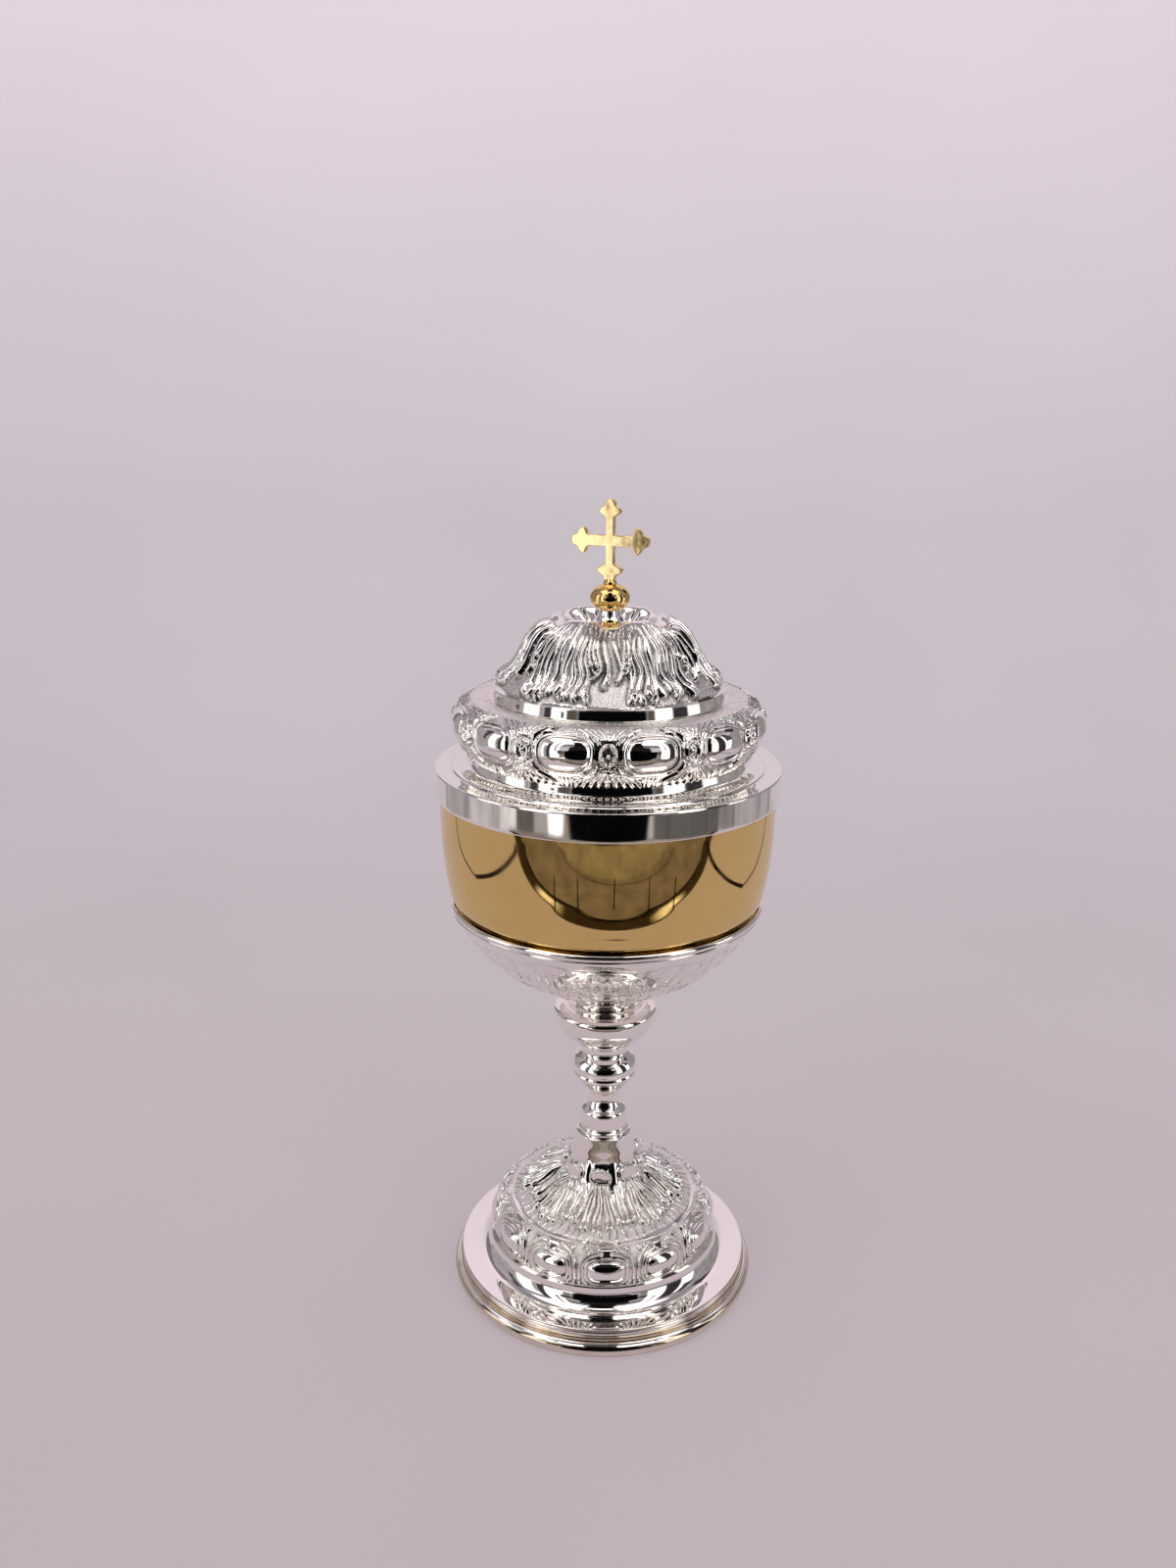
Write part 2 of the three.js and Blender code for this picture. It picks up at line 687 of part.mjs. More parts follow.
/** Dome: the stamped top of the lid, hung with acanthus leaves under a scrolled crest. */
function lidDome() {
  const crest = 0.95; // share of the flank where the leaves scroll over
  const brow = (tip, share) => tip + share * (crest - tip);
  const dish = [0.72 * domeCrestRadius, zNeck + 0.5 * domeCrestRise];
  const halfLeaf = [
    { place: 0, tip: 0.05, rise: domeLeafRise, curlRise: domeCurlRise },
    { place: 0.15, tip: 0.07, rise: 0.85 * domeLeafRise, curlRise: 0.9 * domeCurlRise },
    { place: 0.19, tip: 0.13, rise: 0.25 * domeLeafRise, curlRise: 0.6 * domeCurlRise },
    { place: 0.24, tip: 0.07, rise: 0.85 * domeLeafRise, curlRise: 0.9 * domeCurlRise },
    { place: 0.45, tip: 0.05, rise: domeLeafRise, curlRise: domeCurlRise },
    { place: 0.64, tip: 0.08, rise: 0.85 * domeLeafRise, curlRise: 0.9 * domeCurlRise },
    { place: 0.71, tip: 0.34, rise: 0.3 * domeLeafRise, curlRise: 0.5 * domeCurlRise },
    { place: 0.8, tip: 0.42, rise: 0.8 * domeLeafRise, curlRise: 0.7 * domeCurlRise },
    { place: 1, tip: 0.29, rise: 0.85 * domeLeafRise, curlRise: 0.7 * domeCurlRise },
  ];
  return stamped(
    repeated(domeLeafCount, halfLeaf, 180 / domeLeafCount),
    ({ tip, rise, curlRise }) => [
      setOff(domeFlank, 0, 0),
      setOff(domeFlank, tip - leafEdge, 0),
      setOff(domeFlank, tip, rise),
      setOff(domeFlank, brow(tip, 0.38), 0.9 * rise),
      setOff(domeFlank, brow(tip, 0.7), 0.8 * rise),
      setOff(domeFlank, crest, curlRise),
      dish,
    ],
    [
      [neckRingRadius + 1, zNeck],
      [finialBore, zNeck],
      [finialBore, zNeck - sheet],
      [neckRingRadius, zNeck - sheet],
      ...innerFace(domeFlank, [0.85, 0.6, 0.3], sheet),
      [lidDrumRadius - sheet, zDome],
    ],
  );
}

/** Finial neck: the ringed foot and hollow-sided dish under the ball. */
function finialNeck() {
  const dishFoot = zNeck + neckRingHeight;
  const ring = outline(0, neckRingRadius, zNeck, neckRingHeight, [[1, 0], [1, 0.85], [0.94, 1]]);
  const dish = outline(neckTopRadius, 0.88 * neckRingRadius, dishFoot, zBall - dishFoot, [
    [1, 0.12], [0.5, 0.3], [0.16, 0.62], [0, 1],
  ]);
  return bored([...ring, ...dish], finialBore, narrowFacets);
}

/** Finial ball: an oblate bead between the neck and the cross. */
function finialBall() {
  const lower = THREE.MathUtils.radToDeg(Math.acos(neckTopRadius / ballRadius));
  const upper = THREE.MathUtils.radToDeg(Math.acos(crossFootRadius / ballRadius));
  const sines = [lower, upper].map((angle) => Math.sin(THREE.MathUtils.degToRad(angle)));
  const halfHeight = ballHeight / (sines[0] + sines[1]);
  const side = arc(0, zBall + halfHeight * sines[0], ballRadius, halfHeight, -lower, upper, 8);
  side[0] = [neckTopRadius, zBall];
  side[side.length - 1] = [crossFootRadius, zCross];
  return bored(side, finialBore, narrowFacets);
}

/** One arm of the cross, from its root's lower side out round three buds and back. */
function budArm(shape, turn, halfBar, spread) {
  const tip = crossReach - crossTipRadius;
  const bud = new THREE.Vector2(tip - crossBudSetback, spread / 2 - crossBudRadius);
  const start = Math.PI - Math.asin(THREE.MathUtils.clamp((bud.y - halfBar) / crossBudRadius, -1, 1));
  const cusp = THREE.MathUtils.degToRad(50);
  const wrap = THREE.MathUtils.degToRad(130);
  const circle = (x, y, radius, from, to) => {
    const centre = new THREE.Vector2(x, y).rotateAround(new THREE.Vector2(), turn);
    const curve = new THREE.EllipseCurve(centre.x, centre.y, radius, radius, from + turn, to + turn, false);
    curve.getPoints(budSteps).forEach((point) => shape.push(point));
  };
  circle(bud.x, -bud.y, crossBudRadius, start, 2 * Math.PI + cusp);
  circle(tip, 0, crossTipRadius, -wrap, wrap);
  circle(bud.x, bud.y, crossBudRadius, -cusp, 2 * Math.PI - start);
}

/** Cross: a cast Greek cross with budded ends on a small round foot. */
function cross() {
  const points = [];
  const corner = new THREE.Vector2(crossPost / 2, crossBar / 2);
  const arms = [
    [0, crossBar / 2, crossArmSpread, [1, 1]],
    [Math.PI / 2, crossPost / 2, crossPostSpread, [-1, 1]],
    [Math.PI, crossBar / 2, crossArmSpread, [-1, -1]],
    [1.5 * Math.PI, crossPost / 2, crossPostSpread, [1, -1]],
  ];
  for (const [turn, halfBar, spread, [sx, sy]] of arms) {
    budArm(points, turn, halfBar, spread);
    points.push(new THREE.Vector2(sx * corner.x, sy * corner.y));
  }
  const plate = new THREE.ExtrudeGeometry(new THREE.Shape(points), {
    depth: crossThickness - 2 * crossBevel,
    bevelThickness: crossBevel,
    bevelSize: crossBevel,
    bevelOffset: -crossBevel,
    bevelSegments: 1,
  });
  plate.translate(0, 0, crossBevel - crossThickness / 2).rotateX(Math.PI / 2);
  plate.translate(0, 0, crossReach + crossFootHeight / 3);
  const foot = outline(0, crossFootRadius, 0, crossFootHeight, [[0, 0], [1, 0], [1, 0.3], [0.7, 1], [0, 1]]);
  return joined(closedBody(plate), turned(foot, boreFacets));
}

const silver = { color: 0xd9d6d8, roughness: 0.12, metalness: 1.0 };
const gilt = { color: 0xd2a95a, roughness: 0.1, metalness: 1.0 };
const steel = { color: 0x9b9a98, roughness: 0.4, metalness: 1.0 };

const group = new THREE.Group();

/** Adds one piece to a carrier under its own name. */
function place(carrier, name, geometry, finish) {
  const mesh = new THREE.Mesh(geometry, new THREE.MeshStandardMaterial({ ...finish, flatShading: true }));
  mesh.name = name;
  carrier.add(mesh);
  return mesh;
}

const base = new THREE.Group();
const lid = new THREE.Group();
group.add(base, lid);

const zFootWasher = zStemRing - conePlate - footWasherThickness;
const zFootNut = zFootWasher - footNutHeight;
const zFinialWasher = zNeck - sheet - finialWasherThickness;
const zFinialNut = zFinialWasher - finialNutHeight;

place(base, "foot_rim", footRim(), silver);
place(base, "foot_base", footBase(), silver);
place(base, "foot_band", footBand(), silver);
place(base, "foot_cone", footCone(), silver);
place(base, "stem_ring", stemRing(), silver);
place(base, "stem_collar", stemCollar(), silver);
place(base, "stem_node", stemNode(), silver);
place(base, "stem_knop", knop(), silver);
place(base, "stem_bead", stemBead(), silver);
place(base, "calyx", calyx(), silver);
place(base, "calyx_rim", calyxRim(), silver);
place(base, "cup_boss", cupBoss(), gilt);
place(base, "cup", cup(), gilt);
place(base, "tie_rod", rod(tieRodRadius, zFootNut - threadEnd, zCup - bossCap), steel);
place(base, "foot_washer", washer(footWasherRadius, footWasherThickness, tieBore, zFootWasher), steel);
place(base, "foot_nut", hexNut(footNutAcross, footNutHeight, tieBore, zFootNut), steel);

const finialWasher = washer(finialWasherRadius, finialWasherThickness, finialBore, zFinialWasher);
place(lid, "lid_rim", lidRim(), silver);
place(lid, "lid_band", lidBand(), silver);
place(lid, "lid_drum", lidDrum(), silver);
place(lid, "lid_dome", lidDome(), silver);
place(lid, "finial_neck", finialNeck(), silver);
place(lid, "finial_ball", finialBall(), gilt);
place(lid, "finial_stud", rod(finialRodRadius, zFinialNut - threadEnd, zCross), steel);
place(lid, "finial_washer", finialWasher, steel);
place(lid, "finial_nut", hexNut(finialNutAcross, finialNutHeight, finialBore, zFinialNut), steel);

const crossMesh = place(lid, "cross", cross(), gilt);
crossMesh.position.z = zCross;
crossMesh.rotation.z = THREE.MathUtils.degToRad(crossTurn);

export default group;
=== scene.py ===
"""The looks of a covered ciborium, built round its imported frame.

Sizes are in millimetres and meshes are written in metres, both in the frame's axes: +Z up the
stem, -Y towards the front. Angles round the axis are in degrees from the front, towards +X.
A face is measured along its section from its lower edge, which is called its height.
"""
import logging
import math
from collections.abc import Callable
from dataclasses import dataclass, field
from enum import Enum
from typing import ClassVar

import bpy
import numpy as np
from mathutils import Matrix, Vector


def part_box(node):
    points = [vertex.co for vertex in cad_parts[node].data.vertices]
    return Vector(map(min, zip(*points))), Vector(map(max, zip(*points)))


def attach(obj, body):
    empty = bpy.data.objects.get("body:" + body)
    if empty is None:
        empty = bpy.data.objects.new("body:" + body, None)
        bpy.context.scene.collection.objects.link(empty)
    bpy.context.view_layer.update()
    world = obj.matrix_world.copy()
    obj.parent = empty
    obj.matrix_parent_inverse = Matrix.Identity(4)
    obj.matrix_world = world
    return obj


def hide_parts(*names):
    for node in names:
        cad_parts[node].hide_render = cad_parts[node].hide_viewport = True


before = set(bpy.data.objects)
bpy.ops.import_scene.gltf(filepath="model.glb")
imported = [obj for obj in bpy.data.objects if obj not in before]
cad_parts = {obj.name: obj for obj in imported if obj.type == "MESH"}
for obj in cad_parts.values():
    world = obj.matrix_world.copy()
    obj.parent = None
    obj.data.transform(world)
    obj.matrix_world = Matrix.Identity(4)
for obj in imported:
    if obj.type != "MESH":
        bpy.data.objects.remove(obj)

Array = np.ndarray
Points = list[tuple[float, float]]
Spans = tuple[float, float]
Piece = bpy.types.Object
Material = bpy.types.Material
Tree = bpy.types.NodeTree
Socket = bpy.types.NodeSocket
Colour = tuple[float, float, float, float]

MM = 0.001
TINY = 1e-6
SIDES = (-1, 1)
CORNER_TURN = 18.0  # degrees past which a section's bend is a corner
CORNER_STEPS = 4  # spans of a rounded corner
RING_COLUMNS = 256
BOWL_COLUMNS = 288
BAND_COLUMNS = 864  # 72 for each of a band's twelve stones
LEAF_COLUMNS = 800
RECESS_ROUNDS = 6  # how far round a place its neighbours are averaged
RECESS_GAIN = 4.0  # recess for each millimetre that a place lies below its neighbours

log = logging.getLogger("ciborium")


class Slot(Enum):
    """The record's material slots."""

    SILVER = "silver_plate"
    GOLD = "gold_plate"
    STEEL = "steel_rod"


class Body(Enum):
    """The frame's moving bodies."""

    BASE = "base"
    LID = "lid"


class Layer(Enum):
    """Per-point values that a material reads from a stamped piece."""

    GROUND = "ground"
    RECESS = "recess"


@dataclass(frozen=True)
class Seat:
    """Where a CAD node stands: its lowest and highest level and its reach from the axis."""

    low: float
    high: float
    reach: float


def seat(node: str) -> Seat:
    """Reads a node's place from the frame.

    Args:
        node: the CAD node's name.

    Returns:
        Its levels and reach in millimetres.
    """
    low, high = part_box(node)
    return Seat(low.z / MM, high.z / MM, high.x / MM)


# Sections


def swell(inner: float, outer: float, low: float, high: float, shares: Points) -> Array:
    """Section points from shares of a swelling and of a height.

    Args:
        inner: radius at share 0.
        outer: radius at share 1.
        low: level at share 0.
        high: level at share 1.
        shares: pairs of a share of the swelling and a share of the height.

    Returns:
        An array of [radius, level] rows.
    """
    share = np.asarray(shares, float)
    return np.column_stack([inner + share[:, 0] * (outer - inner), low + share[:, 1] * (high - low)])


def arc(centre: Spans, halves: Spans, angles: Spans, steps: int = 12) -> Array:
    """Section points on an ellipse, centre + (half width x cosine, half height x sine).

    Args:
        centre: its middle as radius and level.
        halves: its half width and half height.
        angles: first and last angle in degrees.
        steps: number of spans.

    Returns:
        An array of [radius, level] rows.
    """
    turn = np.radians(np.linspace(*angles, steps + 1))
    return np.column_stack([centre[0] + halves[0] * np.cos(turn), centre[1] + halves[1] * np.sin(turn)])


def travelled(points: Array) -> Array:
    """Distance along a polyline at each of its points."""
    return np.concatenate([[0.0], np.cumsum(np.linalg.norm(np.diff(points, axis=0), axis=1))])


def smooth(points: Array, count: int) -> Array:
    """A curve through points, evenly spaced along its length.

    Each span is a cubic whose end slopes are the central differences of its neighbours, taken
    against the distance travelled.

    Args:
        points: rows of coordinates.
        count: number of points wanted.

    Returns:
        The curve's points.
    """
    points = np.asarray(points, float)
    knots = travelled(points)
    slopes = np.gradient(points, knots, axis=0)
    places = np.linspace(0, knots[-1], 40 * len(points))
    span = np.clip(np.searchsorted(knots, places, side="right") - 1, 0, len(knots) - 2)
    width = (knots[span + 1] - knots[span])[:, None]
    t = (places - knots[span])[:, None] / width
    curve = (
        (2 * t**3 - 3 * t**2 + 1) * points[span]
        + (t**3 - 2 * t**2 + t) * width * slopes[span]
        + (3 * t**2 - 2 * t**3) * points[span + 1]
        + (t**3 - t**2) * width * slopes[span + 1]
    )
    along = travelled(curve)
    even = np.linspace(0, along[-1], count)
    return np.column_stack([np.interp(even, along, column) for column in curve.T])


def outward(section: Array) -> Array:
    """Unit normals of an upward section: its tangent turned a quarter outwards.

    Args:
        section: rows of [radius, level] from below upwards.

    Returns:
        A unit row for each point.
    """
    tangent = np.gradient(section, axis=0)
    tangent /= np.linalg.norm(tangent, axis=1, keepdims=True)
    return np.column_stack([tangent[:, 1], -tangent[:, 0]])


def softened(section: Array, radius: float, spacing: float = 0.8) -> Array:
    """A closed section with its corners rounded and its long spans divided.

    A corner becomes a quadratic curve that starts and ends one radius away, or a third of the
    shorter side. A point on the axis stays as it is.

    Args:
        section: rows of [radius, level] round the section.
        radius: how far from a corner its rounding starts.
        spacing: longest span left.

    Returns:
        The rounded section.
    """
    polar = min(section[0, 0], section[-1, 0]) < TINY
    before = np.roll(section, 1, axis=0) - section
    after = np.roll(section, -1, axis=0) - section
    lengths = [np.linalg.norm(side, axis=1, keepdims=True) for side in (before, after)]
    before, after = before / lengths[0], after / lengths[1]
    bend = np.degrees(np.arccos(np.clip(-(before * after).sum(axis=1, keepdims=True), -1, 1)))
    cut = np.where(bend > CORNER_TURN, np.minimum(radius, np.minimum(*lengths) / 3), 0)
    if polar:
        cut[[0, -1]] = 0
    u = np.linspace(0, 1, CORNER_STEPS + 1)[None, :, None]
    start, end = (section + before * cut)[:, None], (section + after * cut)[:, None]
    corner = section[:, None]
    rounded = ((1 - u) ** 2 * start + 2 * u * (1 - u) * corner + u**2 * end).reshape(-1, 2)
    kept = np.concatenate([[True], np.linalg.norm(np.diff(rounded, axis=0), axis=1) > TINY])
    rounded = rounded[kept]
    if not polar:
        rounded = np.vstack([rounded, rounded[:1]])
    steps = np.maximum(1, np.ceil(np.diff(travelled(rounded)) / spacing)).astype(int)
    first = np.repeat(np.arange(len(steps)), steps)
    share = (np.arange(len(first)) - np.repeat(np.cumsum(steps) - steps, steps)) / steps[first]
    dense = rounded[first] + share[:, None] * (rounded[first + 1] - rounded[first])
    return np.vstack([dense, rounded[-1:]]) if polar else dense


# Meshes


def mesh_object(name: str, points: Array, faces: list[list[int]], rounded: bool = True) -> Piece:
    """A new object in the scene.

    Args:
        name: the object's and its mesh's name.
        points: rows of coordinates in millimetres.
        faces: point numbers round each face.
        rounded: whether its faces are shaded as one smooth surface.

    Returns:
        The object, at the origin.
    """
    mesh = bpy.data.meshes.new(name)
    mesh.from_pydata((np.asarray(points) * MM).tolist(), [], faces)
    if rounded:
        mesh.shade_smooth()
    mesh.update()
    piece = bpy.data.objects.new(name, mesh)
    bpy.context.scene.collection.objects.link(piece)
    return piece


def lattice(name: str, grid: Array, layers: dict[Layer, Array] | None = None) -> Piece:
    """A closed skin through a grid whose rows run round a section and columns round the axis.

    The columns always meet. The rows meet too, unless the first and last lie on the axis: each
    of these becomes one point with a fan of triangles. Faces are turned to enclose a positive
    volume, so they point outwards.

    Args:
        name: the piece's name.
        grid: rows x columns x 3 coordinates in millimetres.
        layers: values per row and column that the material reads.

    Returns:
        The new object, at the origin.
    """
    columns = grid.shape[1]
    reach = np.hypot(grid[..., 0], grid[..., 1]).max(axis=1)
    first, last = reach[0] < TINY, reach[-1] < TINY
    body = grid[int(first):len(grid) - int(last)]
    index = np.arange(body.shape[0] * columns).reshape(-1, columns)
    lower, upper = index[:-1], index[1:]
    if not (first or last):
        lower, upper = index, np.roll(index, -1, axis=0)
    quads = np.stack([lower, np.roll(lower, -1, axis=1), np.roll(upper, -1, axis=1), upper], axis=-1)
    quads = quads.reshape(-1, 4)
    points = body.reshape(-1, 3)
    fans = []
    for is_pole, ring, pole in ((first, index[0][::-1], grid[0, 0]), (last, index[-1], grid[-1, 0])):
        if is_pole:
            fans.append(np.stack([ring, np.roll(ring, -1), np.full(columns, len(points))], axis=-1))
            points = np.vstack([points, pole])
    corners = points[quads]
    volume = np.einsum("ij,ij->", corners[:, 0], np.cross(corners[:, 1], corners[:, 2]))
    volume += np.einsum("ij,ij->", corners[:, 0], np.cross(corners[:, 2], corners[:, 3]))
    faces = quads.tolist() + [face for fan in fans for face in fan.tolist()]
    if volume < 0:
        faces = [face[::-1] for face in faces]
    piece = mesh_object(name, points, faces)
    for layer, values in (layers or {}).items():
        padded = np.concatenate([values.reshape(-1), np.zeros(len(points) - values.size)])
        attribute = piece.data.attributes.new(layer.value, "FLOAT", "POINT")
        attribute.data.foreach_set("value", padded.astype(np.float32))
    return piece


def swept(sections: Array, columns: int) -> Array:
    """Turns sections round the axis: x is radius x sine, y is minus radius x cosine.

    Args:
        sections: rows x 2, or rows x columns x 2 where the section changes with the angle.
        columns: number of angles, the first at the front.

    Returns:
        rows x columns x 3 coordinates.
    """
    if sections.ndim == 2:
        sections = np.repeat(sections[:, None], columns, axis=1)
    turn = np.radians(np.arange(columns) * 360 / columns)[None]
    radius, level = sections[..., 0], sections[..., 1]
    return np.stack([radius * np.sin(turn), -radius * np.cos(turn), level], axis=-1)


def turned(name: str, section: Array, columns: int = 160, edge: float = 0.3) -> Piece:
    """A piece turned or spun from one section.

    Args:
        name: the piece's name.
        section: rows of [radius, level] round the section.
        columns: number of angles.
        edge: rounding of its corners.

    Returns:
        The new object.
    """
    return lattice(name, swept(softened(section, edge), columns))


@dataclass(frozen=True)
class Face:
    """Places on a stamped face: angles as a row, and heights and radii as a column."""

    angle: Array
    height: Array
    radius: Array

    def folded(self, count: int, turn: float) -> "Face":
        """The same places seen from the middle of the nearest of count mirrored units.

        Args:
            count: number of units round the axis.
            turn: angle of the first unit's middle.

        Returns:
            A face whose angles run from 0 at a unit's middle to half a pitch.
        """
        pitch = 360 / count
        folded = np.abs((self.angle - turn + pitch / 2) % pitch - pitch / 2)
        return Face(folded, self.height, self.radius)

    def measured(self, angle: float) -> "Face":
        """The same places with their angles measured from an angle, -180 to 180."""
        return Face((self.angle - angle + 180) % 360 - 180, self.height, self.radius)

    def across(self, angle: float | Array) -> Array:
        """Distance round the face from an angle, in millimetres."""
        return np.radians(self.angle - angle) * self.radius

    def wandered(self, angle: float, height: float) -> "Face":
        """The same places drifted by slow waves, so that no two units are quite alike.

        Args:
            angle: largest sideways drift in degrees.
            height: largest drift in height in millimetres.

        Returns:
            The drifted face.
        """
        turn = np.radians(self.angle)
        sideways = np.sin(5 * turn + 0.31 * self.height), np.sin(11 * turn - 0.5 * self.height + 1.3)
        upward = np.sin(7 * turn + 0.4), np.sin(17 * turn + 0.2 * self.height)
        angles = self.angle + angle * (0.6 * sideways[0] + 0.4 * sideways[1])
        heights = self.height + height * (0.6 * upward[0] + 0.4 * upward[1])
        return Face(angles, heights, self.radius + 0 * angles)


def bell(distance: Array, width: float | Array) -> Array:
    """A smooth hump, (1 - (distance / width) squared) squared, and 0 past the width."""
    return np.clip(1 - (distance / width) ** 2, 0, None) ** 2


def ease(value: Array, low: float, high: float) -> Array:
    """A smooth step from 0 at low to 1 at high."""
    t = np.clip((value - low) / (high - low), 0, 1)
    return t * t * (3 - 2 * t)


class Mark:
    """Something stamped on a face. A mark that lies over hides the marks before it."""

    over: bool = False

    def emboss(self, face: Face) -> Array:
        """The mark's height over the face in millimetres, 0 outside it."""
        raise NotImplementedError


@dataclass(frozen=True)
class Fingers(Mark):
    """A bundle of round-ended ridges, as on a leaf, round a line from its tips to its root.

    With u from -1 to 1 between the bundle's edges, which slowly sways, ridge number
    floor((u + 1) / 2 x count) has v from -1 to 1 across it and the section
    (1 - v squared) to the power 0.7. Each ridge has a tip, a sway and a rise of its own, drawn
    from the seed: the middle ones reach furthest. It swells just behind its tip.
    """

    line: Points
    halves: tuple[float, ...]
    rise: float
    count: int = 3
    seed: int = 1
    ragged: float = 2.4
    base: float = 0.12
    over: bool = False

    def emboss(self, face: Face) -> Array:
        """The bundle's height over the face.

        Args:
            face: places on the face.

        Returns:
            Heights in millimetres.
        """
        line = smooth(np.column_stack([np.asarray(self.line, float), self.halves]), 60)
        middle = np.interp(face.height, line[:, 1], line[:, 0])
        half = np.interp(face.height, line[:, 1], line[:, 2])
        u = (face.angle - middle) / half
        bundle_sway = 0.2 * np.sin(0.42 * face.height + 2.4 * self.seed)
        u = u + bundle_sway * np.clip(1 - u * u, 0, 1)
        place = np.clip((u + 1) / 2, 0, 1 - TINY) * self.count
        number = place.astype(int)
        draws = np.random.default_rng(self.seed).uniform(0, 1, (2, self.count))
        sway = 0.15 * np.sin(0.55 * face.height + 2 * math.pi * draws[0][number])
        v = 2 * (place - number) - 1 + sway
        outer = np.abs(2 * (np.arange(self.count) + 0.5) / self.count - 1)
        tips = line[0, 1] + self.ragged * (0.6 * outer**2 + 0.5 * draws[0])
        near = face.height - tips[number]
        blunt = 1.15 * np.radians(half) * face.radius / self.count
        share = np.clip(near / blunt, 0, 1)
        across = np.abs(v) / np.maximum(np.sqrt(share * (2 - share)), TINY)
        inside = (np.abs(u) < 1) & (near > 0) & (across < 1) & (face.height < line[-1, 1])
        ridge = np.clip(1 - across**2, 0, 1) ** 0.7 * (0.6 + 0.4 * draws[1][number])
        swelling = 1 + 0.4 * bell(near - 1.2 * blunt, 2.2 * blunt)
        return np.where(inside, self.rise * (self.base + (1 - self.base) * ridge) * swelling, 0)


@dataclass(frozen=True)
class Veins(Mark):
    """Thin ridges side by side all round the axis.

    Ridge number floor(angle x count / 360) has a start, an end, a lean and a rise of its own,
    drawn from the seed. Its section is a hump, and it fades in and out at its ends.
    """

    count: int
    starts: Spans
    ends: Spans
    width: float
    rise: float
    seed: int

    def emboss(self, face: Face) -> Array:
        """The ridges' height over the face.

        Args:
            face: places on the face.

        Returns:
            Heights in millimetres.
        """
        start, end, shift, lean, size = np.random.default_rng(self.seed).uniform(0, 1, (5, self.count))
        place = (face.angle % 360) * self.count / 360
        number = np.clip(place.astype(int), 0, self.count - 1)
        low = self.starts[0] + (self.starts[1] - self.starts[0]) * start[number]
        high = self.ends[0] + (self.ends[1] - self.ends[0]) * end[number]
        share = np.clip((face.height - low) / (high - low), 0, 1)
        middle = 0.5 + 0.4 * (shift[number] - 0.5) + 0.4 * (lean[number] - 0.5) * (share - 0.5)
        x = (place - number - middle) * np.radians(360 / self.count) * face.radius
        ends = ease(share, 0, 0.2) * ease(1 - share, 0, 0.2)
        return self.rise * (0.5 + 0.5 * size[number]) * bell(x, self.width) * ends


@dataclass(frozen=True)
class Stroke(Mark):
    """A ridge drawn on a face along a smooth line through (degrees, millimetres) places.

    A place's height is the rise x a hump of its distance to the nearest span of the line.
    """

    places: Points
    widths: Spans
    rises: Spans
    spans: int = 10

    def emboss(self, face: Face) -> Array:
        """The ridge's height over the face.

        Args:
            face: places on the face.

        Returns:
            Heights in millimetres.
        """
        radii = face.radius[:, 0]
        heights = face.height[:, 0] if face.height.shape[1] == 1 else face.height.mean(axis=1)
        order = np.argsort(heights)
        degrees, levels = np.asarray(self.places, float).T
        reach = np.interp(levels, heights[order], radii[order])
        line = smooth(np.column_stack([np.radians(degrees) * reach, levels]), self.spans + 1)
        x, y = face.across(0), face.height
        highest = np.zeros(np.broadcast(x, y).shape)
        for step in range(self.spans):
            (x0, y0), (x1, y1) = line[step], line[step + 1]
            run = (x1 - x0) ** 2 + (y1 - y0) ** 2 + TINY
            near = np.clip(((x - x0) * (x1 - x0) + (y - y0) * (y1 - y0)) / run, 0, 1)
            distance = np.hypot(x - x0 - near * (x1 - x0), y - y0 - near * (y1 - y0))
            share = (step + near) / self.spans
            width = self.widths[0] + share * (self.widths[1] - self.widths[0])
            rise = self.rises[0] + share * (self.rises[1] - self.rises[0])
            highest = np.maximum(highest, rise * bell(distance, width))
        return highest


@dataclass(frozen=True)
class Ring(Mark):
    """An oval ring of wire round a hollow, or a pearl where its halves are 0."""

    place: Spans
    halves: Spans
    wire: float
    rise: float
    hollow: float = 0.0

    def emboss(self, face: Face) -> Array:
        """Rise x a hump along the oval, less hollow x a hump inside it.

        Args:
            face: places on the face.

        Returns:
            Heights in millimetres.
        """
        x, y = face.across(self.place[0]), face.height - self.place[1]
        size = max(*self.halves, TINY)
        away = np.hypot(x * size / max(self.halves[0], TINY), y * size / max(self.halves[1], TINY))
        return self.rise * bell(away - max(self.halves), self.wire) - self.hollow * bell(away, size)


@dataclass(frozen=True)
class Cabochon(Mark):
    """An oval boss in a round-edged frame, on a superellipse.

    With d the oval's measure, 0 in its middle and 1 at its edge, the boss is a cushion: a step up
    at its edge, then the rise x (1 - d squared). The frame is a hump just outside a groove.
    """

    place: Spans
    halves: Spans
    step: float
    rise: float
    frame_width: float
    frame_rise: float
    exponent: float = 2.8
    groove: float = 0.05

    def measure(self, face: Face) -> Array:
        """The oval's measure at each place, (x to the exponent + y to the exponent) to 1 / exponent.

        Args:
            face: places on the face.

        Returns:
            0 in the oval's middle and 1 at its edge.
        """
        x = np.abs(face.across(self.place[0])) / self.halves[0]
        y = np.abs(face.height - self.place[1]) / self.halves[1]
        return (x**self.exponent + y**self.exponent) ** (1 / self.exponent)

    def emboss(self, face: Face) -> Array:
        """The boss and its frame.

        Args:
            face: places on the face.

        Returns:
            Heights in millimetres.
        """
        d = self.measure(face)
        boss = self.step * (1 - ease(d, 0.84, 1.0)) + self.rise * np.clip(1 - d**2, 0, 1)
        outside = (d - 1) * min(self.halves)
        half = self.frame_width / 2
        ring = self.frame_rise * bell(outside - half - self.groove, half + 0.1) ** 0.7
        return boss + ring


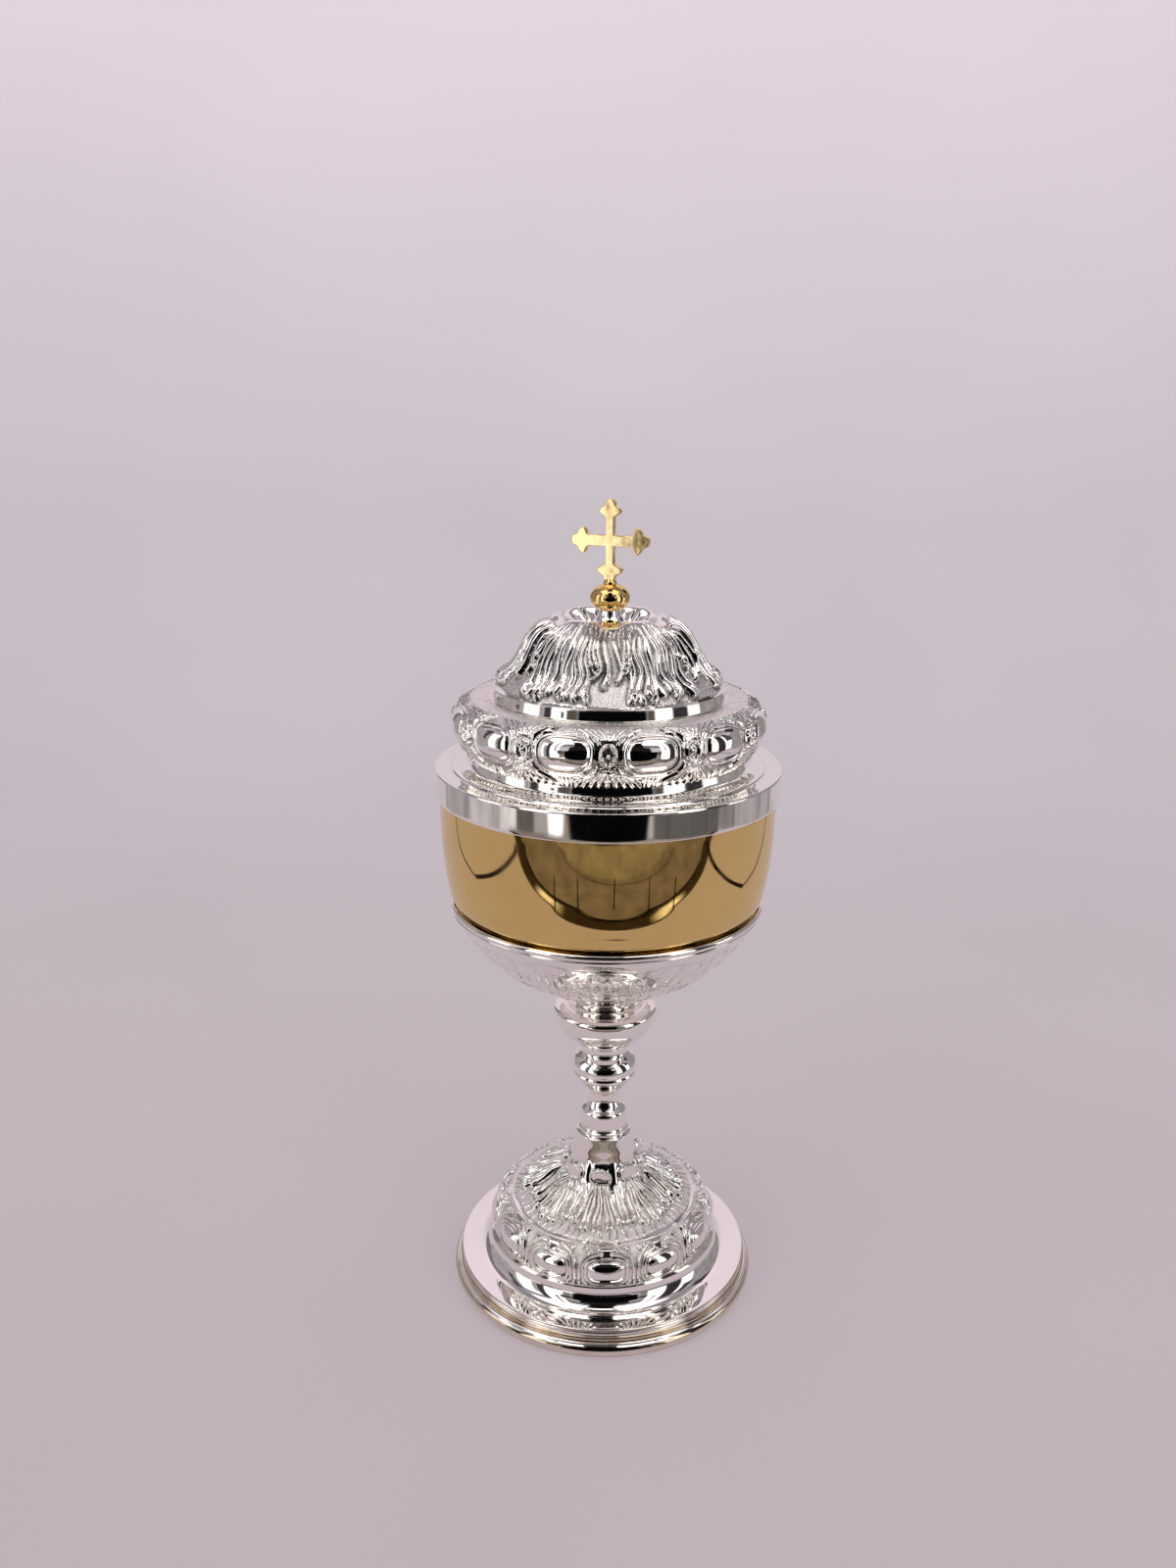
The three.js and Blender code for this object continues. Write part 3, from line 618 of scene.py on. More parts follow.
def embossed(face: Face, marks: list[Mark]) -> Array:
    """Stamps marks on a face in order: the highest stands, and a mark that lies over hides the rest.

    Args:
        face: places on the face.
        marks: the marks, those that lie over after those that they hide.

    Returns:
        Heights in millimetres.
    """
    height = np.zeros(np.broadcast(face.angle, face.height).shape)
    for mark in marks:
        own = mark.emboss(face)
        height = np.where(own > 0, own, height) if mark.over else np.maximum(height, own)
    return height


def repeated(face: Face, count: int, first: float, draw: Callable[[Face, int], Array]) -> Array:
    """A relief drawn unit by unit round the axis, so that each unit can differ.

    Args:
        face: places on the whole face.
        count: number of units.
        first: angle of the first unit's middle.
        draw: gives the relief of a unit from places measured from its middle and its number.

    Returns:
        Heights in millimetres.
    """
    relief = np.zeros(face.angle.shape)
    for unit in range(count):
        local = face.measured(first + unit * 360 / count)
        relief = np.where(np.abs(local.angle) <= 180 / count, draw(local, unit), relief)
    return relief


def blurred(values: Array, rounds: int) -> Array:
    """Values averaged with their neighbours, round by round; columns wrap and rows stop at the ends.

    Args:
        values: rows x columns.
        rounds: how often they are averaged.

    Returns:
        The averaged values.
    """
    for _ in range(rounds):
        values = (values + np.roll(values, 1, axis=1) + np.roll(values, -1, axis=1)) / 3
        edge = np.vstack([values[:1], values, values[-1:]])
        values = (edge[:-2] + edge[1:-1] + edge[2:]) / 3
    return values


@dataclass
class Stamping:
    """A shell stamped from sheet: a smooth section, a relief on its outside and a plain inside.

    The ground is 1 where it is punched matt, and the sink is how far its outside is let down.
    """

    section: Array
    columns: int
    inside: Array
    relief: Array = field(default_factory=lambda: np.zeros((1, 1)))
    ground: Array | float = 0.0
    sink: Array | float = 0.0

    def face(self) -> Face:
        """The places on its outside.

        Returns:
            Angles from -180 to 180, heights along its section and radii.
        """
        angles = np.arange(self.columns) * 360 / self.columns
        angles = np.where(angles > 180, angles - 360, angles)
        return Face(angles[None], travelled(self.section)[:, None], self.section[:, :1])

    def matted(self, mask: Array, grit: float, seed: int) -> None:
        """Punches a matt ground: random pits where the mask is 1.

        Args:
            mask: 0 to 1 per place.
            grit: depth of the pits.
            seed: seed of the random pits.
        """
        noise = np.random.default_rng(seed).uniform(-1, 1, self.relief.shape)
        self.ground = mask
        self.relief = self.relief + grit * mask * noise

    def build(self, name: str) -> Piece:
        """Makes the shell's mesh, with its matt ground and its recesses as layers.

        Args:
            name: the piece's name.

        Returns:
            The new object.
        """
        raised = self.section[:, None] + outward(self.section)[:, None] * self.relief[..., None]
        raised[..., 1] -= self.sink
        inner = np.repeat(self.inside[:, None], self.columns, axis=1)
        grid = swept(np.concatenate([raised, inner]), self.columns)
        hidden = np.zeros((len(self.inside), self.columns))
        recess = np.clip((blurred(self.relief, RECESS_ROUNDS) - self.relief) * RECESS_GAIN, 0, 1)
        layers = {
            Layer.GROUND: np.vstack([self.ground + 0 * self.relief, hidden]),
            Layer.RECESS: np.vstack([recess, hidden]),
        }
        return lattice(name, grid, layers)


# Finishes


def linear(code: str) -> Colour:
    """An sRGB hex colour as linear values with alpha 1.

    Args:
        code: six hex digits.

    Returns:
        Red, green, blue and alpha.
    """
    parts = [int(code[place:place + 2], 16) / 255 for place in (0, 2, 4)]
    values = [part / 12.92 if part <= 0.04045 else ((part + 0.055) / 1.055) ** 2.4 for part in parts]
    return (*values, 1.0)


def add(tree: Tree, kind: str, inputs: dict | None = None, **settings: object) -> bpy.types.Node:
    """Adds a node with its settings, input values and links.

    Args:
        tree: the node tree.
        kind: the node's type.
        inputs: input names or numbers with a value, or with an output socket to link.
        settings: properties of the node.

    Returns:
        The new node.
    """
    node = tree.nodes.new(kind)
    for name, value in settings.items():
        setattr(node, name, value)
    for name, value in (inputs or {}).items():
        if isinstance(value, Socket):
            tree.links.new(value, node.inputs[name])
        else:
            node.inputs[name].default_value = value
    return node


def fresh(name: str) -> tuple[Material, Tree]:
    """A new material with an empty node tree.

    Args:
        name: the material's name.

    Returns:
        The material and its tree.
    """
    material = bpy.data.materials.new(name)
    material.use_nodes = True
    material.node_tree.nodes.clear()
    return material, material.node_tree


def scale_of(size: float) -> float:
    """A texture's scale for a feature of a size in millimetres, on coordinates in metres."""
    return 1 / (size * MM)


@dataclass(frozen=True)
class Finish:
    """A material and the record's slot that it belongs to."""

    material: Material
    slot: Slot


@dataclass(frozen=True)
class PolishedPlate:
    """Bright plate over brass, buffed by hand.

    The eye sees a mirror with the faintest haze: slow ripples left by spinning and buffing, a
    few fine marks, and a warm film where the buff doesn't reach.
    """

    name: str
    colour: str
    film: str
    roughness: float = 0.03
    haze: float = 0.04  # how much rougher its worn spots are
    wear: float = 9.0  # size of its worn spots
    ripple: float = 14.0  # spacing of the buffing's ripples
    ripple_depth: float = 0.04
    film_share: float = 0.6  # film in the recesses
    matted: bool = False
    grit: float = 0.55  # punched grains of the matt ground, a little coarser than real so that they show
    grit_depth: float = 0.25
    yellowed: Spans = (0.0, 0.0)  # radii between which the plate has yellowed
    yellow: str = "A98C52"
    slot: Slot = Slot.SILVER

    def make(self) -> Finish:
        """Builds the material's nodes.

        Returns:
            The finish.
        """
        material, tree = fresh(self.name)
        place = add(tree, "ShaderNodeTexCoord").outputs["Object"]
        spots = {"Vector": place, "Scale": scale_of(self.wear), "Detail": 5.0, "Roughness": 0.62}
        wear = add(tree, "ShaderNodeTexNoise", spots).outputs["Fac"]
        waves = {"Vector": place, "Scale": scale_of(self.ripple), "Detail": 1.0}
        ripple = add(tree, "ShaderNodeTexNoise", waves).outputs["Fac"]
        rough = add(tree, "ShaderNodeMapRange", {
            "Value": wear, "From Min": 0.35, "From Max": 0.75, "To Min": self.roughness,
            "To Max": self.roughness + self.haze,
        }).outputs["Result"]
        film = add(tree, "ShaderNodeMapRange", {
            "Value": wear, "From Min": 0.3, "From Max": 0.8, "To Min": 0.0, "To Max": 0.1,
        }).outputs["Result"]
        normal = add(tree, "ShaderNodeBump", {
            "Height": ripple, "Strength": 1.0, "Distance": self.ripple_depth * MM,
        }).outputs["Normal"]
        if self.matted:
            recess = add(tree, "ShaderNodeAttribute", attribute_name=Layer.RECESS.value).outputs["Fac"]
            ground = add(tree, "ShaderNodeAttribute", attribute_name=Layer.GROUND.value).outputs["Fac"]
            shares = {0: recess, 1: self.film_share}
            dirt = add(tree, "ShaderNodeMath", shares, operation="MULTIPLY").outputs[0]
            film = add(tree, "ShaderNodeMath", {0: film, 1: dirt}, operation="ADD", use_clamp=True).outputs[0]
            dull = {0: ground, 1: 0.3, 2: rough}
            rough = add(tree, "ShaderNodeMath", dull, operation="MULTIPLY_ADD").outputs[0]
            grains = {"Vector": place, "Scale": scale_of(self.grit)}
            pits = add(tree, "ShaderNodeTexVoronoi", grains).outputs["Distance"]
            pits = add(tree, "ShaderNodeMath", {0: pits, 1: ground}, operation="MULTIPLY").outputs[0]
            normal = add(tree, "ShaderNodeBump", {
                "Height": pits, "Strength": 0.6, "Distance": self.grit_depth * MM, "Normal": normal,
            }).outputs["Normal"]
        shades = {"Factor": film, "A": linear(self.colour), "B": linear(self.film)}
        tint = add(tree, "ShaderNodeMix", shades, data_type="RGBA").outputs["Result"]
        if self.yellowed[1] > 0:
            shades = {"Factor": self.yellow_share(tree, place, wear), "A": tint, "B": linear(self.yellow)}
            tint = add(tree, "ShaderNodeMix", shades, data_type="RGBA").outputs["Result"]
        shine = add(tree, "ShaderNodeBsdfPrincipled", {
            "Base Color": tint, "Metallic": 1.0, "Roughness": rough, "Normal": normal,
        }).outputs["BSDF"]
        add(tree, "ShaderNodeOutputMaterial", {"Surface": shine})
        return Finish(material, self.slot)

    def yellow_share(self, tree: Tree, place: Socket, wear: Socket) -> Socket:
        """How far a place has yellowed: most in the middle between two radii, and uneven.

        Args:
            tree: the node tree.
            place: coordinates on the object.
            wear: how worn the plate is there.

        Returns:
            The share of yellow.
        """
        flat = add(tree, "ShaderNodeVectorMath", {0: place, 1: (1, 1, 0)}, operation="MULTIPLY").outputs[0]
        away = add(tree, "ShaderNodeVectorMath", {0: flat}, operation="LENGTH").outputs["Value"]
        low, high = (radius * MM for radius in self.yellowed)
        middle = (low + high) / 2
        near = add(tree, "ShaderNodeMapRange", {"Value": away, "From Min": low, "From Max": middle})
        past = add(tree, "ShaderNodeMapRange", {
            "Value": away, "From Min": middle, "From Max": high, "To Min": 1.0, "To Max": 0.0,
        })
        shares = {0: near.outputs["Result"], 1: past.outputs["Result"]}
        ring = add(tree, "ShaderNodeMath", shares, operation="MULTIPLY").outputs[0]
        uneven = add(tree, "ShaderNodeMath", {0: wear, 1: 0.3}, operation="ADD").outputs[0]
        return add(tree, "ShaderNodeMath", {0: ring, 1: uneven}, operation="MULTIPLY").outputs[0]


@dataclass(frozen=True)
class TurnedSteel:
    """Plain steel off the lathe: fine rings round the axis and a dull grey shine."""

    name: str = "turned_steel"
    colour: str = "A3A19D"
    stain: str = "77736C"
    stain_size: float = 2.5
    groove: float = 0.45  # the tool's rings are 2 pi times this apart, coarser than real so that they show
    groove_depth: float = 0.03

    def make(self) -> Finish:
        """Builds the material's nodes.

        Returns:
            The finish.
        """
        material, tree = fresh(self.name)
        place = add(tree, "ShaderNodeTexCoord").outputs["Object"]
        tooled = {"Vector": place, "Scale": scale_of(self.groove) / 20, "Distortion": 0.4}
        rings = add(tree, "ShaderNodeTexWave", tooled, wave_type="BANDS", bands_direction="Z").outputs["Fac"]
        spots = {"Vector": place, "Scale": scale_of(self.stain_size), "Detail": 4.0}
        stain = add(tree, "ShaderNodeTexNoise", spots).outputs["Fac"]
        rough = add(tree, "ShaderNodeMapRange", {"Value": stain, "To Min": 0.28, "To Max": 0.5})
        shades = {"Factor": stain, "A": linear(self.colour), "B": linear(self.stain)}
        tint = add(tree, "ShaderNodeMix", shades, data_type="RGBA")
        grooves = {"Height": rings, "Strength": 0.5, "Distance": self.groove_depth * MM}
        shine = add(tree, "ShaderNodeBsdfPrincipled", {
            "Base Color": tint.outputs["Result"], "Metallic": 1.0, "Roughness": rough.outputs["Result"],
            "Normal": add(tree, "ShaderNodeBump", grooves).outputs["Normal"],
        }).outputs["BSDF"]
        add(tree, "ShaderNodeOutputMaterial", {"Surface": shine})
        return Finish(material, Slot.STEEL)


@dataclass(frozen=True)
class Palette:
    """The finishes of the whole object."""

    silver: Finish
    flange: Finish
    rim: Finish
    stamped: Finish
    stippled: Finish
    gilt: Finish
    filed: Finish
    steel: Finish

    @classmethod
    def made(cls) -> "Palette":
        """Makes each finish once.

        Returns:
            The palette.
        """
        plate, film, brass = "FFFBF7", "CFC5AF", "B98238"
        stamped = {"film": "A59992", "film_share": 0.5, "matted": True}
        stippled = {"film": "6F6966", "film_share": 0.75, "matted": True}
        filed = {"roughness": 0.1, "ripple": 4.0, "ripple_depth": 0.06, "slot": Slot.GOLD}
        return cls(
            silver=PolishedPlate("polished_silver_plate", plate, film).make(),
            flange=PolishedPlate("yellowed_silver_plate", plate, film, yellowed=(53.9, 55.4)).make(),
            rim=PolishedPlate("worn_silver_plate", plate, film, yellowed=(56.0, 57.3)).make(),
            stamped=PolishedPlate("stamped_silver_plate", plate, **stamped).make(),
            stippled=PolishedPlate("stippled_silver_plate", plate, **stippled).make(),
            gilt=PolishedPlate("polished_gold_plate", "E8C983", brass, slot=Slot.GOLD).make(),
            filed=PolishedPlate("filed_gold_plate", "F0D6A0", brass, **filed).make(),
            steel=TurnedSteel().make(),
        )


# Fasteners


def threaded_rod(node: str, pitch: float) -> Piece:
    """A threaded rod with chamfered ends.

    Its radius is the reach, less the thread's depth x a triangle wave of level / pitch - angle / 360,
    less a chamfer that grows over the last pitch.

    Args:
        node: the CAD node that it stands for.
        pitch: rise of one turn of its thread.

    Returns:
        The rod.
    """
    place, columns = seat(node), 48
    levels = np.arange(place.low, place.high + TINY, pitch / 6)[:, None]
    turns = np.arange(columns)[None] / columns
    wave = np.abs(2 * ((levels / pitch - turns) % 1) - 1)
    end = np.minimum(levels - place.low, place.high - levels)
    thread, chamfer = 0.3 * pitch, 0.6 * pitch
    radius = place.reach - thread * wave - chamfer * np.clip(1 - end / pitch, 0, 1)
    flank = np.stack([radius, levels + 0 * radius], axis=-1)
    pole = np.zeros((1, columns, 2))
    sections = np.concatenate([pole + (0, place.low), flank, pole + (0, float(levels[-1, 0]))])
    return lattice(node + "_threaded", swept(sections, columns))


def plain_washer(node: str, bore: float) -> Piece:
    """A plain washer with its corners broken.

    Args:
        node: the CAD node that it stands for.
        bore: radius of its hole.

    Returns:
        The washer.
    """
    place = seat(node)
    low, high, reach = place.low, place.high, place.reach
    return turned(node + "_disc", np.array([[bore, low], [reach, low], [reach, high], [bore, high]]), 96, 0.2)


def hexagon_nut(node: str, bore: float) -> Piece:
    """A hexagon nut whose corners are chamfered at both ends.

    Its radius is the flat's distance / cosine of the angle from the nearest flat, and at the ends
    it isn't let past a share of the corner's.

    Args:
        node: the CAD node that it stands for.
        bore: radius of its hole.

    Returns:
        The nut.
    """
    place, columns = seat(node), 144
    angle = np.arange(columns) * 360 / columns
    corner = place.reach
    outer = corner * math.cos(math.pi / 6) / np.cos(np.radians((angle + 30) % 60 - 30))
    blunt, chamfer, burr = np.minimum(outer, 0.93 * corner), 0.12 * corner, 0.05
    rows = (
        (bore + 0 * outer, place.low), (blunt - burr, place.low), (blunt, place.low + burr),
        (outer, place.low + chamfer), (outer, place.high - chamfer), (blunt, place.high - burr),
        (blunt - burr, place.high), (bore + 0 * outer, place.high),
    )
    sections = np.stack([np.column_stack([radius, level + 0 * radius]) for radius, level in rows])
    return lattice(node + "_hexagon", swept(sections, columns))


# Assemblies


@dataclass
class Assembly:
    """Pieces that move as one body and are dressed from one palette."""

    palette: Palette
    body: ClassVar[Body]

    def dress(self, piece: Piece, finish: Finish, node: str | None) -> None:
        """Gives a piece its finish and its body, and hides the CAD node that it stands for.

        Args:
            piece: the new piece.
            finish: its finish.
            node: the CAD node that it replaces, if it isn't a second piece of one.
        """
        piece.data.materials.append(finish.material)
        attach(piece, self.body.value)
        if node is not None:
            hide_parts(node)
        log.info("%s stands for %s, %d faces", piece.name, node or "part of a node", len(piece.data.polygons))

    def refinish(self, node: str, finish: Finish) -> None:
        """Gives a CAD node that stays a new finish.

        Args:
            node: the node's name.
            finish: its finish.
        """
        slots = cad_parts[node].data.materials
        slots.clear()
        slots.append(finish.material)
        log.info("%s keeps its solid", node)

    def fasten(self, rod: str, end: str, pitch: float, bore: float, nut_bore: float) -> None:
        """Makes a threaded rod, and the washer and nut that it draws tight.

        Args:
            rod: the rod's node.
            end: what the names of the washer's and the nut's nodes begin with.
            pitch: rise of one turn of the thread.
            bore: radius of the washer's hole.
            nut_bore: radius of the nut's hole.
        """
        steel, washer, nut = self.palette.steel, end + "_washer", end + "_nut"
        self.dress(threaded_rod(rod, pitch), steel, rod)
        self.dress(plain_washer(washer, bore), steel, washer)
        self.dress(hexagon_nut(nut, nut_bore), steel, nut)


# Foot


@dataclass
class Foot(Assembly):
    """The foot: rim, spun base, cabochon band and leaf cone."""

    body = Body.BASE
    sheet: float = 0.9
    lip: float = 3.2
    bore: float = 3.3
    cove_foot: float = 47.4
    drum: float = 41.0
    shoulder: float = 35.7
    neck: float = 10.2
    plate: float = 1.2
    cabochons: int = 12
    leaves: int = 8
    turn: float = 2.5
    leaf_turn: float = -3.9
    lip_half: float = 16.5
    curl_share: float = 0.6  # where on the cone's length its leaves roll over
    seed_step: int = 40  # seeds from one leaf to the next
    rim_width: float = 4.5
    flange_rise: float = 4.5

    def rim(self) -> None:
        """The heavy ring: flat underneath, with a half-round outer edge and a small bead on top."""
        ring = seat("foot_rim")
        inner, height = ring.reach - self.rim_width, ring.high
        section = np.vstack([
            [[inner, 0], [ring.reach - 1.6, 0]],
            arc((ring.reach - 2.6, 3.0), (2.6, 2.6), (-62, 62)),
            arc((ring.reach - 2.2, height - 0.9), (0.9, 0.9), (20, 90), 8),
            [[inner, height]],
        ])
        piece = turned("foot_rim_ring", section, RING_COLUMNS)
        self.dress(piece, self.palette.rim, "foot_rim")

    def base(self) -> None:
        """The spun flange, with a bead along its edge, and the cove up to the band."""
        node = seat("foot_base")
        edge, low, high = node.reach, node.low, node.high
        flange = low + self.flange_rise
        outside = np.vstack([
            [[edge - 0.3, low]],
            arc((edge - 0.75, low + 1.0), (0.85, 0.9), (-50, 100), 12),
            arc((edge - 0.5, low + 2.75), (0.75, 0.85), (240, 105), 12),
            arc((edge - 1.0, flange - 0.45), (0.6, 0.45), (-30, 90), 8),
            arc((self.cove_foot, high), (self.cove_foot - self.drum, high - flange), (270, 180), 28),
        ])
        inside = np.vstack([
            [[self.drum - self.lip, high], [self.drum - self.lip, high - self.sheet]],
            arc(
                (self.cove_foot, high - self.sheet),
                (self.cove_foot - self.drum + self.sheet, high - flange), (180, 270), 20,
            ),
            [[edge - self.sheet, flange - self.sheet - 0.8], [edge - self.sheet, low]],
        ])
        piece = turned("foot_base_spinning", np.vstack([outside, inside]), RING_COLUMNS, 0.25)
        self.dress(piece, self.palette.flange, "foot_base")

    def band(self) -> None:
        """The stamped band: twelve oval cabochons with fans of ribs between them."""
        node = seat("foot_band")
        low, high = node.low, node.high
        section = smooth(swell(self.shoulder, self.drum + 0.2, low, high, [
            (0.87, 0), (0.97, 0.14), (1, 0.32), (0.9, 0.56), (0.62, 0.79), (0.32, 0.93), (0, 1),
        ]), 72)
        length = travelled(section)[-1]
        inside = np.vstack([
            [[self.shoulder - self.lip, high], [self.shoulder - self.lip, high - self.sheet]],
            (section - self.sheet * outward(section))[[48, 36, 26]],
            [[section[0, 0] - self.sheet, low]],
        ])
        shell = Stamping(section, BAND_COLUMNS, inside)
        pitch = 360 / self.cabochons
        middle = 0.36 * length
        face = shell.face().wandered(0.25, 0.12).folded(self.cabochons, self.turn)
        stone = Cabochon((0, middle), (7.0, 4.6), 0.5, 1.2, 0.8, 0.6)
        arches = [
            Stroke([(11.6 + 2.3 * k, middle - 3.4 + 0.6 * k), (11.8 + 2.0 * k, middle + 1.6 + 0.4 * k),
                    (8.8 + 1.7 * k, middle + 5.4 + 1.2 * k), (3.2 + 1.4 * k, middle + 6.6 + 1.9 * k)],
                   (0.75, 0.85), (1.0, 1.35), 12)
            for k in range(2)
        ]
        crown = [
            Stroke([(7.0 + 3.4 * k, middle + 8.6), (8.4 + 3.2 * k, length - 2.4),
                    (9.0 + 3.0 * k, length - 0.9)], (0.8, 0.6), (1.2, 1.0), 6)
            for k in range(2)
        ]
        petals = [Stroke([(3.4 * k, 1.7), (3.4 * k, 0.6)], (0.6, 0.9), (0.35, 0.6), 3) for k in range(5)]
        outside = ease(stone.measure(face), 1.16, 1.28)
        shell.relief = np.maximum(stone.emboss(face), outside * embossed(face, arches + crown + petals))
        shell.relief *= ease(face.height, 0, 0.8) * ease(length - face.height, 0, 0.8)
        shell.matted(outside * ease(0.35 - shell.relief, 0, 0.3) * (face.angle > 5), 0.09, 11)
        self.dress(shell.build("foot_band_stamping"), self.palette.stamped, "foot_band")

    def cone(self) -> None:
        """The stamped cone: eight acanthus leaves whose upper ends roll over under a plain neck."""
        node = seat("foot_cone")
        low, high = node.low, node.high
        rim = self.shoulder - 0.4
        section = smooth(np.vstack([
            [[rim, low]],
            swell(self.neck, self.shoulder, low, high, [
                (0.84, 0.045), (0.66, 0.105), (0.5, 0.18), (0.34, 0.28), (0.22, 0.4), (0.13, 0.55),
                (0.05, 0.8), (0, 1),
            ]),
        ]), 120)
        length = travelled(section)[-1]
        inside = np.vstack([
            [[self.bore, high], [self.bore, high - self.plate], [self.neck - self.sheet, high - self.plate]],
            (section - self.sheet * outward(section))[[96, 80, 64, 48, 32, 16]],
            [[rim - self.sheet, low]],
        ])
        shell = Stamping(section, LEAF_COLUMNS, inside)
        whole = shell.face().wandered(0.8, 0.5)
        curl = self.curl_share * length
        height = whole.height
        relief = repeated(
            whole, self.leaves, self.leaf_turn,
            lambda face, unit: self.leaf(face, curl, self.seed_step * unit),
        )
        curls = self.curls(whole.folded(self.leaves, self.leaf_turn), curl, length)
        shell.relief = np.maximum(relief * ease(curl + 1 - height, 0, 7), curls)
        shell.relief = shell.relief * ease(height, 0.3, 1.6) * (0.45 + 0.55 * ease(height, 3, 13))
        bare = ease(curl - 4 - height, 0, 4) * ease(0.3 - shell.relief, 0, 0.3) * ease(height, 1.2, 2.0)
        shell.matted(bare, 0.05, 13)
        self.dress(shell.build("foot_cone_stamping"), self.palette.stamped, "foot_cone")

    def leaf(self, face: Face, curl: float, seed: int) -> Array:
        """One leaf of the cone: a middle bundle and two at each side, with a low one at each edge.

        Args:
            face: places, with angles measured from the leaf's middle.
            curl: height where the leaf rolls over.
            seed: seed of its fingers.

        Returns:
            Its relief in millimetres.
        """
        edge = 180 / self.leaves
        edge_seeds = (seed + 1, seed + 1 + self.seed_step)
        return embossed(face, [
            *self.sprigs(seed),
            *(
                Fingers([(side * edge, 6.0), (side * edge, 15), (side * edge, curl)], (4.6, 4.2, 3.6), 1.5, 2,
                        edge_seed, 3.0)
                for side, edge_seed in zip(SIDES, edge_seeds)
            ),
            Fingers([(0, 3.2), (0, 12), (0, curl)], (3.6, 3.5, 2.4), 2.2, 2, seed + 2, 3.0),
            *(
                Fingers([(side * tip, start), (side * bend, 15), (side * root, curl)], (half, half, 2.4),
                        rise, count, seed + number + side, 3.4, over=number > 4)
                for side in SIDES
                for number, tip, start, bend, root, half, rise, count in (
                    (4, 9.9, 3.8, 7.9, 5.2, 3.4, 2.5, 2), (8, 17.4, 6.2, 14.2, 9.8, 2.4, 2.6, 1),
                )
            ),
        ])

    def curls(self, face: Face, curl: float, length: float) -> Array:
        """The leaves' rolled ends, the stalks beside them and the laps between them.

        A rolled end slopes up inside an oval, a superellipse of exponent 2.4, to a raised edge.

        Args:
            face: places, with angles measured from the nearest leaf's middle.
            curl: height where the leaves roll over.
            length: the cone's height.

        Returns:
            Heights in millimetres.
        """
        across = (face.angle / self.lip_half) ** 2.4
        measure = (across + (np.abs(face.height - curl - 2.2) / 2.6) ** 2.4) ** (1 / 2.4)
        lip = (0.7 + 0.28 * np.clip(face.height - curl, 0, 5)) * (1 - ease(measure, 0.9, 1.02))
        lip = lip + 0.5 * bell(measure - 0.93, 0.13)
        stalk = 0.8 * bell(np.radians(face.angle - 11 + 0.25 * (face.height - curl)) * face.radius, 0.8)
        stalk = stalk * ease(face.height, curl + 3, curl + 5) * ease(length - 9 - face.height, 0, 6)
        lap = 0.5 * bell(face.across(180 / self.leaves), 1.6) * bell(face.height - curl - 3, 5)
        return np.maximum.reduce([lip, stalk, lap])

    def sprigs(self, seed: int) -> list[Mark]:
        """Small leaves that stand in a row between the large ones and the cone's rim.

        Args:
            seed: seed of their sway.

        Returns:
            A ridge for each of them.
        """
        sway = np.random.default_rng(seed).uniform(-0.8, 0.8, 8)
        return [
            Stroke([(angle, 6.2), (angle + 0.9 + sway[k], 4.2), (angle + 2.4 * sway[k], 2.2)],
                   (0.8, 0.55), (0.7, 0.8), 5)
            for k, angle in enumerate((-20.0, -14.5, -9.0, -3.4, 2.2, 7.6, 13.2, 18.8))
        ]

    def build(self) -> None:
        """Makes every piece of the foot."""
        self.rim()
        self.base()
        self.band()
        self.cone()


# Stem


@dataclass
class Stem(Assembly):
    """The turned pieces threaded on the tie rod, and the rod's washer and nut."""

    body = Body.BASE
    bore: float = 3.3
    nut_bore: float = 3.05
    pitch: float = 1.0

    def turning(self, node: str, waist: float, belly: float, shares: Points, edge: float = 0.25) -> None:
        """One turned bead of the stem.

        Args:
            node: the CAD node that it stands for.
            waist: radius at share 0.
            belly: radius at share 1.
            shares: its outline as shares of swelling and height.
            edge: rounding of its corners.
        """
        place = seat(node)
        outside = smooth(swell(waist, belly, place.low, place.high, shares), 90)
        outside[:, 1] = np.clip(outside[:, 1], place.low, place.high)
        section = np.vstack([outside, [[self.bore, place.high], [self.bore, place.low]]])
        piece = turned(node + "_turning", section, edge=edge)
        self.dress(piece, self.palette.silver, node)

    def build(self) -> None:
        """Makes the stem's beads and refinishes what they are threaded on."""
        self.turning("stem_ring", 8.2, 9.9, [
            (0.45, 0), (0.62, 0.12), (0.74, 0.4), (0.7, 0.62), (0.42, 0.8), (0.3, 1),
        ])
        self.turning("stem_collar", 7.0, 8.8, [
            (0.85, 0), (0.97, 0.06), (1, 0.2), (1, 0.5), (1, 0.68), (0.93, 0.82), (0.74, 0.93), (0.4, 1),
        ])
        self.turning("stem_node", 5.5, 12.4, [
            (0.36, 0), (0.2, 0.035), (0.08, 0.09), (0, 0.17), (0.045, 0.272), (0.22, 0.317), (0.49, 0.385),
            (0.64, 0.442), (0.77, 0.487), (0.86, 0.517), (0.93, 0.547), (0.955, 0.574), (0.93, 0.594),
            (0.895, 0.609), (0.93, 0.624), (0.985, 0.653), (1, 0.69), (0.97, 0.728), (0.89, 0.774),
            (0.77, 0.815), (0.6, 0.85), (0.47, 0.88), (0.43, 0.91), (0.42, 1),
        ])
        self.turning("stem_knop", 7.9, 19.3, [
            (0.035, 0), (0.05, 0.055), (0.23, 0.12), (0.42, 0.18), (0.58, 0.265), (0.77, 0.41), (0.9, 0.55),
            (0.98, 0.7), (1, 0.83), (0.965, 0.92), (0.86, 0.965), (0.7, 0.985), (0.5, 0.97), (0.36, 0.97),
            (0.28, 1),
        ])
        self.turning("stem_bead", 9.2, 11.2, [
            (0.5, 0), (0.85, 0.05), (1, 0.14), (0.88, 0.24), (0.5, 0.31), (0.2, 0.4), (0.06, 0.55),
            (0.3, 0.85), (0.6, 1),
        ])
        self.fasten("tie_rod", "foot", self.pitch, self.bore, self.nut_bore)


# Bowl


